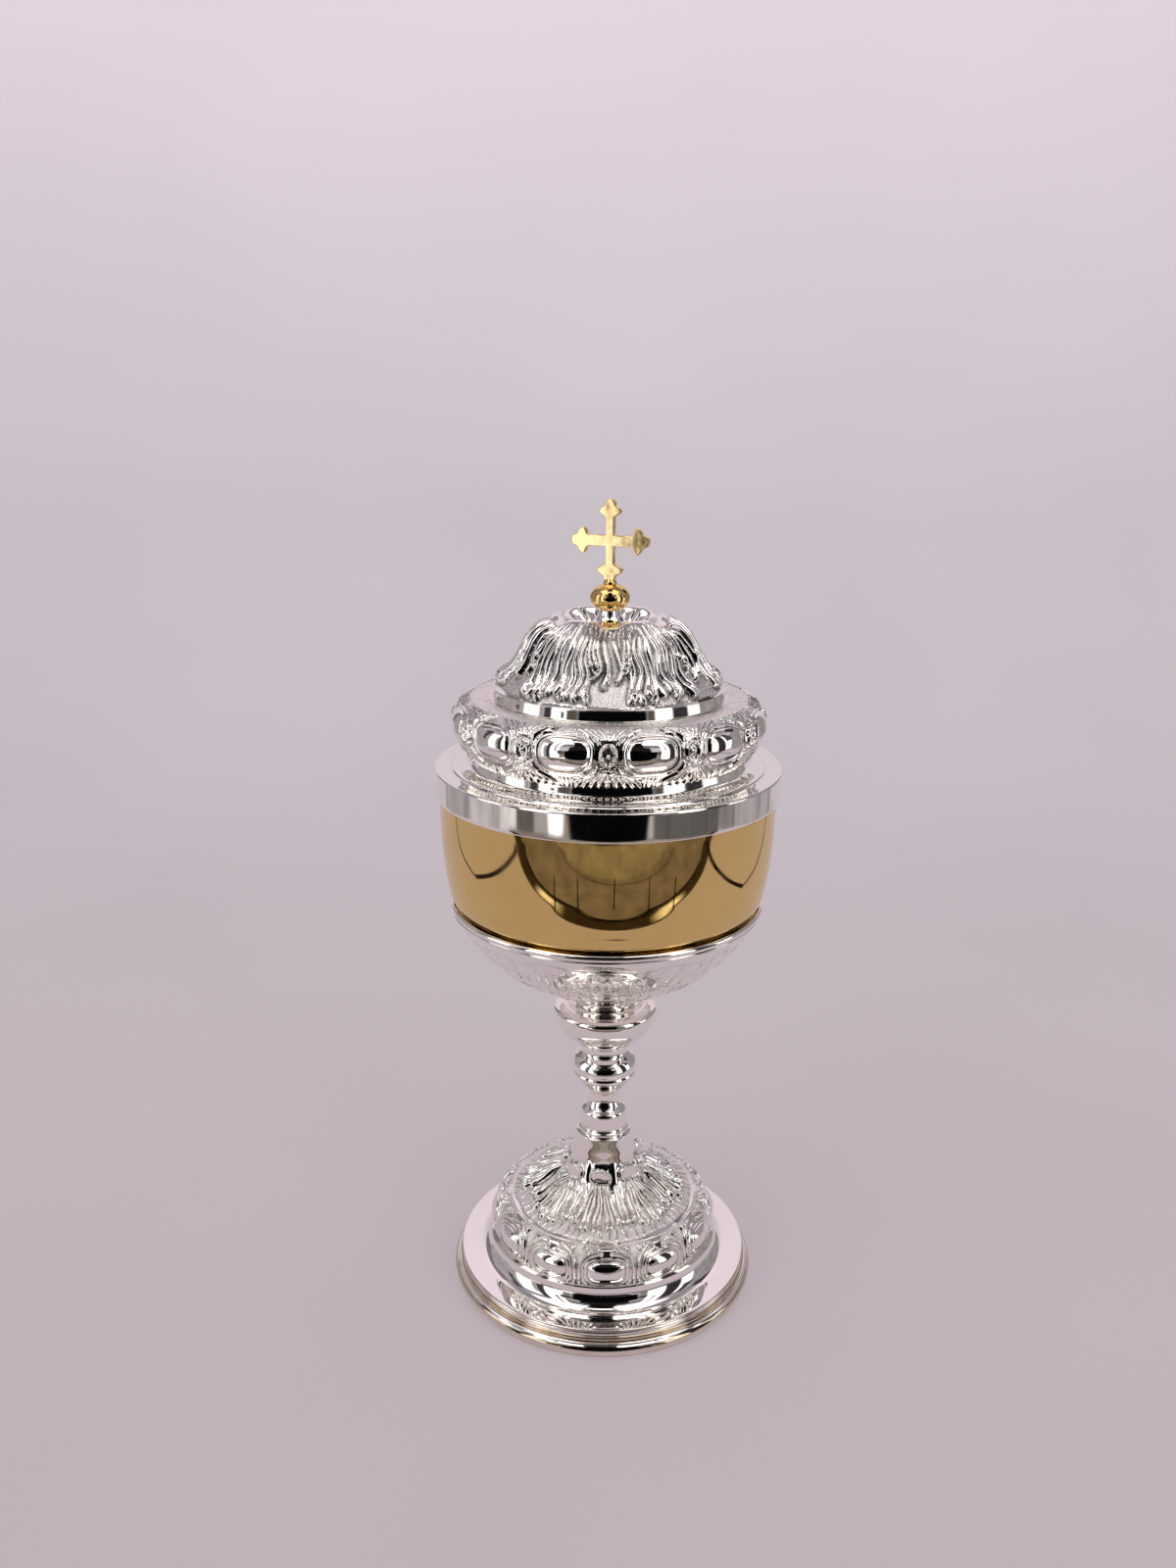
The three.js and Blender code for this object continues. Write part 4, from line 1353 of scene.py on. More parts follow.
@dataclass
class Bowl(Assembly):
    """The gilt bowl in its stamped calyx."""

    body = Body.BASE
    sheet: float = 0.9
    wall: float = 1.0
    play: float = 0.8
    belt: float = 54.4
    mouth: float = 58.7
    calyx_foot: float = 13.2
    rim_play: float = 0.3
    scallops: int = 16
    seam: float = 0.9
    bore: float = 3.3

    def calyx_section(self, count: int) -> Array:
        """The calyx's smooth outside, from its foot to its mouth.

        Args:
            count: number of points.

        Returns:
            Rows of [radius, level].
        """
        node = seat("calyx")
        mouth = self.belt + self.rim_play + 0.6
        return smooth(swell(self.calyx_foot, mouth, node.low, node.high, [
            (0, 0), (0.16, 0.105), (0.34, 0.2), (0.53, 0.33), (0.69, 0.49), (0.81, 0.66), (0.91, 0.83),
            (1, 1),
        ]), count)

    def calyx(self) -> None:
        """The stamped calyx: a plain scalloped border over leaves of fine low veins."""
        section = self.calyx_section(120)
        low, high = section[0, 1], section[-1, 1]
        length = travelled(section)[-1]
        inside = np.vstack([
            [[section[-1, 0] - self.sheet, high]],
            (section - self.sheet * outward(section))[[100, 80, 60, 40, 20]],
            [[self.calyx_foot - 0.3, low + self.sheet], [self.bore, low + self.sheet], [self.bore, low]],
        ])
        shell = Stamping(section, LEAF_COLUMNS, inside)
        whole = shell.face().wandered(0.9, 0.6)
        face = whole.folded(self.scallops, 0)
        wave = np.sin(np.radians(face.angle * self.scallops / 2))
        border = length - 3.2 - 1.9 * wave + 0 * face.height
        below = ease(border - face.height, 0, 0.5)
        drawn = embossed(whole, [
            Veins(80, (length - 21, length - 17), (length - 13, length - 9), 0.6, 0.6, 31),
            Veins(44, (length - 11, length - 9), (length - 7, length - 5.5), 0.8, 0.8, 37),
            Veins(72, (length - 32, length - 28), (length - 22, length - 20), 0.6, 0.5, 41),
            Veins(60, (5, 8), (length - 38, length - 34), 0.55, 0.8, 43),
        ])
        shell.relief = 0.35 * (1 - below) + below * drawn
        shell.relief *= ease(face.height, 0, 3) * ease(length - face.height, 0, 1)
        self.dress(shell.build("calyx_stamping"), self.palette.stamped, "calyx")

    def calyx_rim(self) -> None:
        """The half-round wire round the calyx's mouth."""
        node = seat("calyx_rim")
        inner, height = self.belt + self.rim_play, node.high - node.low
        centre, halves = (inner + 0.1, node.low + height / 2), (node.reach - inner - 0.1, height / 2)
        outside = arc(centre, halves, (-90, 90), 16)
        section = np.vstack([outside, [[inner, node.high - 0.3], [inner, node.low + 0.3]]])
        piece = turned("calyx_rim_wire", section, BOWL_COLUMNS, 0.12)
        self.dress(piece, self.palette.silver, "calyx_rim")

    def cup(self) -> None:
        """The spun bowl: its lower half nests in the calyx, its flank swells to the mouth."""
        node = seat("cup")
        calyx = self.calyx_section(101)
        under = calyx - (self.sheet + self.play) * outward(calyx)
        nest = under[34:84:10]
        seam = seat("calyx_rim").high
        flank = swell(self.belt, self.mouth, calyx[-1, 1], node.high, [
            (0.475, 0.2), (0.765, 0.38), (0.97, 0.76), (1, 1),
        ])
        floor = node.low
        flat = 1.25 * self.calyx_foot
        turn = [
            [self.belt - self.seam, seam - 1.4], [self.belt - self.seam, seam],
            [self.belt - 0.2, seam + 0.75], [self.belt + 0.6, seam + 1.9],
        ]
        outer = smooth(np.vstack([[[flat, floor]], nest, turn, flank]), 150)
        inner = outer - self.wall * outward(outer)
        inner[:, 1] = np.clip(inner[:, 1], floor + self.wall, node.high)
        section = np.vstack([[[0, floor]], outer, inner[::-1][:-1], [[0, floor + self.wall]]])
        piece = turned("gilt_cup", section, BOWL_COLUMNS, 0.2)
        self.dress(piece, self.palette.gilt, "cup")

    def build(self) -> None:
        """Makes the bowl, the calyx and its wire."""
        self.calyx()
        self.calyx_rim()
        self.cup()
        self.refinish("cup_boss", self.palette.gilt)


# Lid


@dataclass
class Lid(Assembly):
    """The lid: skirt, cabochon band, drum and leaf dome."""

    body = Body.LID
    sheet: float = 0.9
    skirt: float = 0.8
    land: float = 3.2
    lip: float = 3.2
    moulding: float = 47.4
    belly: float = 52.5
    drum_radius: float = 39.8
    crest: float = 19.4
    crest_rise: float = 5.8
    neck_ring: float = 8.5
    stud_bore: float = 1.9
    cabochons: int = 12
    leaves: int = 6
    seed_step: int = 50  # seeds from one leaf to the next

    def rim(self) -> None:
        """The skirt that caps the bowl, and the flange and moulding inside it."""
        node = seat("lid_rim")
        reach, flange = node.reach, seat("cup").high + self.sheet
        land, lip = reach - self.skirt, self.moulding - self.lip
        rise = smooth(swell(self.moulding, land, flange, node.high, [
            (0.585, 0.02), (0.565, 0.12), (0.52, 0.165), (0.3, 0.18), (0.19, 0.21), (0.1, 0.29), (0.05, 0.41),
            (0.03, 0.6), (0.01, 0.8), (0, 1),
        ]), 40)
        section = np.vstack([
            [[land, node.low], [reach - 0.15, node.low], [reach, node.low + 0.3]],
            [[reach, flange - self.skirt]],
            arc((reach - 0.55, flange - 0.55), (0.55, 0.55), (0, 90), 6),
            [[land - 1.4, flange - 0.05], [land - 3.6, flange + 0.12]],
            rise,
            [[lip, node.high], [lip, node.high - self.sheet]],
            [[self.moulding - self.sheet, node.high - self.sheet], rise[20] - self.sheet],
            [[land - self.land, seat("cup").high], [land, seat("cup").high]],
        ])
        piece = turned("lid_rim_spinning", section, BOWL_COLUMNS, 0.2)
        self.dress(piece, self.palette.silver, "lid_rim")

    def band(self) -> None:
        """The stamped band: twelve cabochons in frames, ringed buttons, palmettes and a matt shoulder."""
        node = seat("lid_band")
        low, high = node.low, seat("lid_drum").low
        section = smooth(np.vstack([
            swell(self.moulding, self.belly, low, high, [
                (0, 0), (0.55, 0.16), (0.9, 0.36), (1, 0.58), (0.85, 0.78),
            ]),
            swell(self.drum_radius, self.belly, low, high, [(0.66, 0.979), (0.25, 1.005), (0, 1)]),
        ]), 104)
        length = travelled(section)[-1]
        top = self.drum_radius - self.lip
        inside = np.vstack([
            [[top, high], [top, high - self.sheet]],
            (section - self.sheet * outward(section))[[84, 72, 60, 48, 36, 24, 12]],
            [[self.moulding - self.sheet, low]],
        ])
        shell = Stamping(section, BAND_COLUMNS, inside)
        face = shell.face().wandered(0.22, 0.12).folded(self.cabochons, 0)
        half = 180 / self.cabochons
        middle = 0.437 * length
        stone = Cabochon((half, middle), (8.4, 5.6), 0.5, 1.4, 0.7, 0.5)
        clear = ease(stone.measure(face), 1.15, 1.24)
        shell.relief = np.maximum(stone.emboss(face), clear * embossed(face, self.ornament(middle)))
        shell.relief *= ease(face.height, 0, 0.7)
        shoulder = ease(face.height, 0.6 * length, 0.66 * length) * ease(length - face.height, 0.6, 1.6)
        specks = np.random.default_rng(5).uniform(0, 1, shell.relief.shape)
        leaf_specks = blurred(specks, 2)
        shell.relief += shoulder * clear * 2.6 * np.clip(leaf_specks - 0.55, 0, 1)
        shell.matted(shoulder * clear * ease(0.5 - shell.relief, 0, 0.3), 0.08, 19)
        self.dress(shell.build("lid_band_stamping"), self.palette.stamped, "lid_band")

    def ornament(self, middle: float) -> list[Mark]:
        """What stands between two stones of the band: a button in its straps, plumes and palmettes.

        Args:
            middle: height of the stones' middle.

        Returns:
            The marks of half a unit, from the button's middle to the stone's.
        """
        button = [Ring((0, middle), (2.2, 3.0), 0.7, 1.7), Ring((0, middle), (0.0, 0.0), 1.5, 1.6)]
        pinch = [
            Stroke([(9.0, middle + 6.6), (5.6, middle + 4.6), (4.3, middle), (5.6, middle - 4.4),
                    (8.6, middle - 6.3)], (0.6, 0.6), (1.0, 1.0), 14),
            Stroke([(6.6, middle + 7.6), (3.9, middle + 5.2), (3.2, middle + 3.4)],
                   (0.5, 0.4), (0.9, 0.8), 6),
            Stroke([(5.2, middle - 6.0), (3.6, middle - 4.4), (3.2, middle - 3.2)],
                   (0.5, 0.4), (0.9, 0.8), 6),
        ]
        straps = [
            Stroke([(3.0 + 3.4 * k, middle + 4.8 + 1.0 * k), (5.6 + 3.6 * k, middle + 6.8 + 0.8 * k),
                    (8.2 + 4.4 * k, middle + 8.8 + 0.2 * k)], (0.7, 0.55), (1.1, 0.7), 8)
            for k in range(2)
        ]
        plume = [
            Stroke([(0.8 * k, middle + 4.4), (1.7 * k, middle + 6.6), (3.2 * k, middle + 9.2)],
                   (0.42, 0.36), (0.75, 0.5), 6)
            for k in range(4)
        ]
        palmette = [
            Stroke([(0.55 * k, middle - 3.9), (1.2 * k, middle - 6.4), (2.5 * k, 3.8), (3.0 * k, 0.9)],
                   (0.4, 0.85), (0.9, 0.9), 12)
            for k in range(5)
        ]
        petals = [
            Stroke([(12.9 + 1.4 * k, 5.0), (13.4 + 1.3 * k, 0.9)], (0.35, 0.75), (0.4, 0.8), 4)
            for k in range(2)
        ]
        return button + pinch + straps + plume + palmette + petals

    def drum(self) -> None:
        """The polished hollow ring between the band and the dome."""
        node = seat("lid_drum")
        radius, low, high = self.drum_radius, node.low, node.high
        outside = np.array([[radius + 0.1, low], [radius + 0.3, low + 0.3], [radius - 0.25, high - 0.5]])
        section = np.vstack([
            [[radius - self.lip, low]], outside,
            arc((radius - 0.65, high - 0.4), (0.4, 0.4), (0, 90), 6),
            [[radius - self.lip, high]],
        ])
        piece = turned("lid_drum_ring", section, RING_COLUMNS, 0.15)
        self.dress(piece, self.palette.silver, "lid_drum")

    def dome(self) -> None:
        """The stamped dome: six three-fingered leaves, six short leaves and a curled crest."""
        node = seat("lid_dome")
        low, seat_level = node.low, seat("finial_neck").low
        top = seat_level + self.crest_rise
        flank = np.vstack([
            [[self.drum_radius, low]],
            swell(self.crest, self.drum_radius, low, top, [
                (0.92, 0.05), (0.76, 0.175), (0.59, 0.35), (0.48, 0.53), (0.36, 0.7), (0.16, 0.875), (0, 1),
            ]),
            [[self.crest - 1.6, top + 0.25], [self.crest - 3.4, top - 0.9], [0.66 * self.crest, top - 3.6],
             [0.55 * self.crest, top - 5.2], [self.neck_ring + 0.4, seat_level]],
        ])
        section = smooth(flank, 112)
        level = section[:, 1]
        inside = np.vstack([
            [[self.stud_bore, seat_level], [self.stud_bore, seat_level - self.sheet]],
            [[self.crest - 3, seat_level - self.sheet]],
            (section - self.sheet * outward(section))[[40, 30, 20, 10]],
            [[self.drum_radius - self.sheet, low]],
        ])
        shell = Stamping(section, LEAF_COLUMNS, inside)
        crest = travelled(section)[int(np.argmax(level))]
        whole = shell.face().wandered(0.9, 0.6)
        half_pitch = 180 / self.leaves
        relief = repeated(
            whole, self.leaves, half_pitch, lambda face, unit: self.leaf(face, crest, self.seed_step * unit)
        )
        face = whole.folded(self.leaves, half_pitch)
        crown = 0.4 * bell(face.height - crest, 3.4)
        shell.sink = 0.3 * ease(face.angle, 10, 26) * np.clip(level[:, None] - seat_level - 0.6, 0, None)
        rays = Veins(30, (crest - 3, crest - 1), (crest + 6, crest + 9), 1.1, 0.45, 53).emboss(whole)
        relief = np.maximum(relief * ease(crest - face.height, 0, 8.5), np.maximum(crown, rays))
        shell.relief = relief * ease(face.height, 0.2, 1.2)
        bare = ease(0.3 - shell.relief, 0, 0.25) * ease(face.height, 1.4, 2.0)
        shell.matted(bare * ease(crest - 4 - face.height, 0, 1), 0.12, 23)
        self.dress(shell.build("lid_dome_stamping"), self.palette.stippled, "lid_dome")

    def leaf(self, face: Face, crest: float, seed: int) -> Array:
        """One large leaf of the dome, with half a short leaf at each side.

        Args:
            face: places, with angles measured from the leaf's middle.
            crest: height of the dome's crest.
            seed: seed of its fingers.

        Returns:
            Its relief in millimetres.
        """
        top = crest + 1.2
        half = 180 / self.leaves
        marks: list[Mark] = [
            Fingers([(0, 2.6), (0, 12), (0, top)], (5.8, 5.4, 5.4), 1.7, 2, seed + 1, 3.0),
            *(
                Fingers([(side * 13.6, 1.4), (side * 12.9, 12), (side * 10.8, top)], (7.8, 6.6, 5.2), 2.1, 3,
                        seed + 3 + side, 3.4, over=True)
                for side in SIDES
            ),
            *(
                Stroke([(side * half + lean[0], top), (side * half + lean[1], 20),
                        (side * half + lean[2], 14), (side * half + lean[3], low)],
                       (0.9, width), (1.1, rise), 12)
                for side in SIDES
                for *lean, low, width, rise in (
                    (-1.4, -2.6, -0.6, -2.6, 9.0, 1.5, 2.2), (4.4, 4.8, 7.4, 4.4, 10.8, 1.2, 1.9),
                    (-5.4, -7.6, -6.0, -9.4, 11.0, 1.2, 1.9), (9.0, 11.4, 9.8, 8.6, 13.4, 1.0, 1.6),
                )
            ),
            *(
                Fingers([(side * 20.8, 13.6), (side * 18.8, 20), (side * 16.6, top)], (3.2, 3.2, 2.8), 2.2, 2,
                        seed + 8 + side, 3.0, over=True)
                for side in SIDES
            ),
        ]
        draws = np.random.default_rng(seed + 20).uniform(-0.5, 0.5, (6, 2))
        curls = [
            Ring((angle + draw[0], height + draw[1]), (0.9, 1.5), 0.7, 2.4, 1.0)
            for (angle, height), draw in zip(
                ((-17.0, 4.4), (-7.4, 4.0), (5.6, 4.6), (18.4, 4.2), (21.6, 15.4), (-21.0, 16.4)), draws,
            )
        ]
        return embossed(face, marks + curls)

    def build(self) -> None:
        """Makes the lid's shells."""
        self.rim()
        self.band()
        self.drum()
        self.dome()


# Finial


@dataclass
class Finial(Assembly):
    """The ringed neck, the ball and the budded cross, on their stud."""

    body = Body.LID
    bore: float = 1.9
    neck_ring: float = 8.5
    neck_top: float = 3.5
    ball_radius: float = 6.8
    foot: float = 2.3
    reach: float = 13.6
    bar: float = 3.7
    post: float = 2.9
    arm_spread: float = 8.8
    post_spread: float = 7.4
    foot_spread: float = 8.8
    thickness: float = 2.5
    bevel: float = 0.3
    turn: float = -20.0
    foot_height: float = 1.6
    nut_bore: float = 1.65
    pitch: float = 0.5

    def neck(self) -> None:
        """The ring and hollow dish under the ball."""
        node = seat("finial_neck")
        dish = node.low + 2.7
        ring = [(self.neck_ring, node.low), (self.neck_ring, dish - 0.5), (0.95 * self.neck_ring, dish)]
        hollow = smooth(swell(self.neck_top, 0.88 * self.neck_ring, dish, node.high, [
            (1, 0.06), (0.72, 0.18), (0.42, 0.36), (0.16, 0.62), (0, 1),
        ]), 30)
        section = np.vstack([ring, hollow, [[self.bore, node.high], [self.bore, node.low]]])
        piece = turned("finial_neck_turning", section)
        self.dress(piece, self.palette.silver, "finial_neck")

    def ball(self) -> None:
        """The oblate gilt ball."""
        node = seat("finial_ball")
        lower = math.degrees(math.acos(self.neck_top / self.ball_radius))
        upper = math.degrees(math.acos(self.foot / self.ball_radius))
        sines = [math.sin(math.radians(angle)) for angle in (lower, upper)]
        half = (node.high - node.low) / sum(sines)
        side = arc((0, node.low + half * sines[0]), (self.ball_radius, half), (-lower, upper), 48)
        section = np.vstack([side, [[self.bore, node.high], [self.bore, node.low]]])
        piece = turned("finial_ball_gilt", section, edge=0.15)
        self.dress(piece, self.palette.gilt, "finial_ball")

    def arm(self, turn: float, half_bar: float, spread: float) -> Array:
        """One arm's outline: a filled trefoil whose side buds swell just behind its tip.

        Args:
            turn: direction of the arm in degrees.
            half_bar: half the bar's width.
            spread: width over the side buds.

        Returns:
            Rows of [x, y] round the arm.
        """
        from_tip = np.array([
            (0, 0), (0.12, 0.22), (0.6, 0.36), (1.4, 0.45), (2.0, 0.5), (2.5, 0.68), (3.2, 0.9), (4.0, 1.0),
            (4.7, 0.93), (5.2, 0.72), (5.7, 0.5),
        ])
        half = smooth(np.vstack([from_tip * (1, spread / 2), [[6.5, half_bar]]]), 40)
        points = np.vstack([half[::-1] * (-1, -1), half[1:] * (-1, 1)]) + (self.reach, 0)
        c, s = math.cos(math.radians(turn)), math.sin(math.radians(turn))
        return points @ np.array([[c, s], [-s, c]])

    def outline(self) -> Array:
        """The cross's outline: four arms, and a corner of the bars after each.

        Returns:
            Rows of [x, y] round the middle.
        """
        corner = np.array([self.post / 2, self.bar / 2])
        arms = (
            (0, self.bar, self.arm_spread, (1, 1)), (90, self.post, self.post_spread, (-1, 1)),
            (180, self.bar, self.arm_spread, (-1, -1)), (270, self.post, self.foot_spread, (1, -1)),
        )
        rows = np.vstack([
            np.vstack([self.arm(turn, width / 2, spread), [corner * sign]])
            for turn, width, spread, sign in arms
        ])
        return rows[np.linalg.norm(rows - np.roll(rows, 1, axis=0), axis=1) > 0.01]

    def casting(self, outline: Array) -> Array:
        """The outline set in and carried back ring by ring, so that both of its edges are round.

        Args:
            outline: rows of [x, y].

        Returns:
            rings x points x 3 coordinates about the cross's middle.
        """
        side = np.roll(outline, -1, axis=0) - outline
        side /= np.linalg.norm(side, axis=1, keepdims=True)
        bisector = side + np.roll(side, 1, axis=0)
        bisector /= np.linalg.norm(bisector, axis=1, keepdims=True)
        inward = np.column_stack([-bisector[:, 1], bisector[:, 0]])
        turn = np.radians(np.linspace(0, 90, 5))
        inset = np.append(self.bevel * (1 - np.cos(turn)), 1.4 * self.bevel)
        depth = np.append(self.thickness / 2 - self.bevel * (1 - np.sin(turn)), self.thickness / 2)
        insets = np.concatenate([inset[::-1], inset])
        depths = np.concatenate([-depth[::-1], depth])
        rings = outline[None] + inward[None] * insets[:, None, None]
        through = np.repeat(depths[:, None], len(outline), axis=1)
        return np.stack([rings[..., 0], through, rings[..., 1]], axis=-1)

    def cross(self) -> None:
        """The cast cross on a small turned foot."""
        node = seat("cross")
        outline = self.outline()
        grid = self.casting(outline)
        grid[..., 2] += node.low + self.reach + self.foot_height / 3
        turn = math.radians(self.turn)
        spin = np.array([
            [math.cos(turn), math.sin(turn), 0], [-math.sin(turn), math.cos(turn), 0], [0, 0, 1],
        ])
        index = np.arange(grid.shape[0] * len(outline)).reshape(-1, len(outline))
        lower, upper = index[:-1], index[1:]
        quads = np.stack([lower, np.roll(lower, -1, axis=1), np.roll(upper, -1, axis=1), upper], axis=-1)
        faces = quads.reshape(-1, 4).tolist() + [index[0][::-1].tolist(), index[-1].tolist()]
        piece = mesh_object("cross_casting", grid.reshape(-1, 3) @ spin, faces)
        self.dress(piece, self.palette.filed, "cross")
        foot = np.vstack([[[0, node.low]], swell(0, self.foot, node.low, node.low + self.foot_height, [
            (1, 0), (1, 0.3), (0.7, 1), (0, 1),
        ])])
        self.dress(turned("cross_foot", foot, 64, 0.15), self.palette.gilt, None)

    def build(self) -> None:
        """Makes the finial and refinishes its stud, washer and nut."""
        self.neck()
        self.ball()
        self.cross()
        self.fasten("finial_stud", "finial", self.pitch, self.bore, self.nut_bore)


# Studio


@dataclass(frozen=True)
class Board:
    """A board or strip that only mirrors see, as corners on a plane of its own.

    It fades out over a share of its size at its sides and at its ends.
    """

    name: str
    corners: tuple[tuple[float, float, float], ...]
    colour: str
    strength: float = 1.0
    fade: Spans = (0.0, 0.0)


def upright(
    name: str, azimuths: Spans, distance: float, levels: Spans, colour: str, strength: float = 1.0,
    spread: float = 0.0, soft: float = 3.5,
) -> Board:
    """A flat board that stands across a range of angles round the object.

    Args:
        name: the board's name.
        azimuths: its two sides, in degrees from the front.
        distance: how far its sides stand from the axis.
        levels: its lower and upper edge.
        colour: sRGB hex code.
        strength: brightness against white.
        spread: how far each side leans outwards to its top, in degrees.
        soft: over how many degrees each side fades out.

    Returns:
        The board.
    """
    left, right = azimuths[0] - soft / 2, azimuths[1] + soft / 2
    low, high = levels
    places = ((left, low), (right, low), (right + spread, high), (left - spread, high))
    standing = tuple((*around(angle, distance), level) for angle, level in places)
    return Board(name, standing, colour, strength, (soft / (right - left), 0.0))


def around(azimuth: float, distance: float) -> Spans:
    """A place on the floor, at an azimuth from the front and a distance from the axis."""
    turn = math.radians(azimuth)
    return distance * math.sin(turn), -distance * math.cos(turn)


def lying(
    name: str, x: Spans, y: Spans, colour: str, slant: float = 0.0, level: float = 1.0, strength: float = 1.0,
    fade: Spans = (0.0, 0.0),
) -> Board:
    """A flat board that lies over the floor or hangs level overhead.

    Args:
        name: the board's name.
        x: its left and right side.
        y: its front and back edge, where it crosses the middle.
        colour: sRGB hex code.
        slant: how much further back its edges are for each millimetre to the right.
        level: its height over the floor.
        strength: brightness against white.
        fade: share of its size over which it fades out at its sides and at its edges.

    Returns:
        The board.
    """
    places = ((x[0], y[0]), (x[1], y[0]), (x[1], y[1]), (x[0], y[1]))
    return Board(name, tuple((a, b + slant * a, level) for a, b in places), colour, strength, fade)


def strip(name: str, start: Spans, end: Spans, width: float, colour: str, level: float = 2.0) -> Board:
    """A narrow board that lies on the floor from one place to another.

    Args:
        name: the board's name.
        start: where its middle line starts.
        end: where its middle line ends.
        width: its width.
        colour: sRGB hex code.
        level: its height over the floor.

    Returns:
        The board.
    """
    run = np.subtract(end, start)
    side = np.array([-run[1], run[0]]) * width / 2 / np.linalg.norm(run)
    places = (start - side, end - side, end + side, start + side)
    return Board(name, tuple((float(a), float(b), level) for a, b in places), colour)


@dataclass
class Studio:
    """A pale paper sweep under soft lamps, in the room that the polished metal mirrors.

    The room is in front, where the camera doesn't look: bare floor past the paper's edge, a dark
    standing shape, and window light at both sides.
    """

    # colours of one paper: darker on the floor as painted shade, lighter at the top of the sweep as painted
    # light, the wall between
    floor: str = "BCB0B5"
    wall: str = "CBC3C9"
    top: str = "EEE0EA"
    ceiling: str = "958E91"
    plain_share: float = 0.72  # how much of the paper's colour is the same in light and shade
    mottle: float = 260.0  # size of the paper's mottling
    stain: float = 60.0  # size of the boards' stains
    paper_front: float = -238.0
    paper_sides: Spans = (-435.0, 430.0)
    slant: float = 0.08
    wall_distance: float = 540.0
    ceiling_level: float = 1500.0
    sweep_half: float = 3000.0
    sweep_front: float = 4000.0
    sweep_back: float = 900.0
    sweep_rise: float = 1400.0
    bend: float = 500.0
    edge_width: float = 42.0  # how wide the paper's rolled front edge is
    # painted shade along the paper's edges
    edge_shade_colour: str = "1B1713"
    lamp_aim: float = 150.0

    def room(self) -> list[Board]:
        """The boards of the room: floor and paper edges, shapes and windows in front, ceiling."""
        return [*self.floor_boards(), *self.wall_boards(), *self.ceiling_boards()]

    def floor_boards(self) -> list[Board]:
        """What lies in front of and beside the paper, with painted shade along the paper's edges.

        Returns:
            The boards.
        """
        (left, right), front, dark = self.paper_sides, self.paper_front, self.edge_shade_colour
        rolled = front - self.edge_width
        glare = {"slant": self.slant, "level": 1.5, "strength": 1.25, "fade": (0.4, 0.3)}
        joints = [
            strip(f"floor_joint_{k}", around(azimuth, 305), around(azimuth, 450), 5, "1E1913", 2.5)
            for k, azimuth in enumerate((-33, -18, 5, 27, 44))
        ]
        return [
            # painted shade: a dark band along the paper's rolled front edge, and dark lines along its front
            # and side edges
            lying("rolled_edge_shade", (-700, 700), (rolled, front), "3A2F22", self.slant),
            lying("bare_floor", (-700, 700), (-450, rolled), "80756F", self.slant),
            lying("far_floor", (-900, 900), (-640, -450), "948A7E", self.slant),
            lying("left_glare", (-300, -130), (front - 34, front - 2), "FFF6E6", **glare),
            lying("right_glare", (125, 305), (front - 34, front - 2), "FFF6E6", **glare),
            strip("front_edge_shade", (left, rolled + self.slant * left), (right, rolled + self.slant * right),
                  9, "17120C"),
            strip("floor_seam", (-300, -465), (360, -385), 5, "3B3428"),
            strip("left_edge_near", (left - 14, front - 34), (left + 42, 43), 20, dark),
            strip("left_edge_far", (left + 42, 43), (left - 41, 227), 8, dark),
            strip("left_edge_end", (left - 41, 227), (left - 140, 341), 8, dark),
            strip("right_edge_near", (right + 64, front + 6), (right - 76, 83), 18, dark),
            strip("right_edge_far", (right - 76, 83), (right - 2, 318), 8, dark),
            strip("right_edge_end", (right - 2, 318), (right + 65, 455), 8, dark),
            *joints,
        ]

    def wall_boards(self) -> list[Board]:
        """A dark standing shape between bright windows and dark pillars.

        Returns:
            The boards.
        """
        near = self.wall_distance
        far = near + 30
        floor = (20, 58)
        boards = (
            ("standing_shape_foot", (-22, 23), near, (26, 84), "050506", 1.0, 5),
            ("standing_shape", (-26, 33), near, (84, 330), "050506", 1.0, 2),
            ("standing_shape_left", (-39, -28), near, (190, 330), "57504A"),
            ("standing_shape_right", (35, 43), near, (190, 330), "57504A"),
            ("standing_shape_upper", (-21, 27), near, (330, 560), "1E1C1C"),
            ("standing_shape_top", (-13, 16), near, (560, 1480), "101011"),
            ("left_floor_glare", (-36, -27), far, floor, "FFFFFF", 1.5, 1),
            ("left_bench", (-45, -36), far, floor, "A09A98"),
            ("left_chest", (-57, -45), far, floor, "5E5855"),
            ("left_sill", (-69, -57), far, floor, "E4DEDE"),
            ("left_skirting", (-96, -69), far, floor, "B6AEB0"),
            ("left_corner", (-126, -96), far, floor, "A09A9C"),
            ("right_floor_glare", (24, 28), far, floor, "B0AAAA"),
            ("right_chest", (28, 71), far, floor, "5C5856"),
            ("right_bench", (71, 86), far, floor, "7C7876"),
            ("right_skirting", (86, 126), far, floor, "9E989A"),
            ("left_curtain", (-36, -28), far, (58, 260), "8A8484"),
            ("left_window", (-54, -36), far, (58, 900), "FFFFFF", 1.8),
            ("left_frame", (-44.5, -41), near, (260, 900), "3A3638"),
            ("left_pillar", (-62, -54), near, (58, 620), "3C383A"),
            ("left_light", (-86, -62), far, (58, 560), "FFFFFF", 1.25),
            ("left_frame_far", (-67, -62), near, (58, 400), "9A9496"),
            ("left_wall", (-126, -86), far, (58, 480), "A29C9E"),
            ("left_door", (-106, -92), near, (230, 620), "4A4648"),
            ("right_curtain", (35, 43), far, (58, 260), "8A8484"),
            ("right_window", (43, 61), far, (58, 900), "FFFFFF", 1.8),
            ("right_frame", (50, 53), near, (300, 900), "3A3638"),
            ("right_pillar", (61, 78), near, (58, 620), "343032"),
            ("right_light", (78, 94), far, (58, 560), "FFFFFF", 1.25),
            ("right_wall", (94, 142), far, (58, 480), "928C8E"),
            ("right_door", (84, 96), near, (300, 620), "4A4648"),
            ("left_screen", (-142, -118), 800, (150, 900), "7A7478"),
            ("right_screen", (112, 143), 800, (130, 900), "3A383C"),
        )
        return [upright(*board) for board in boards]

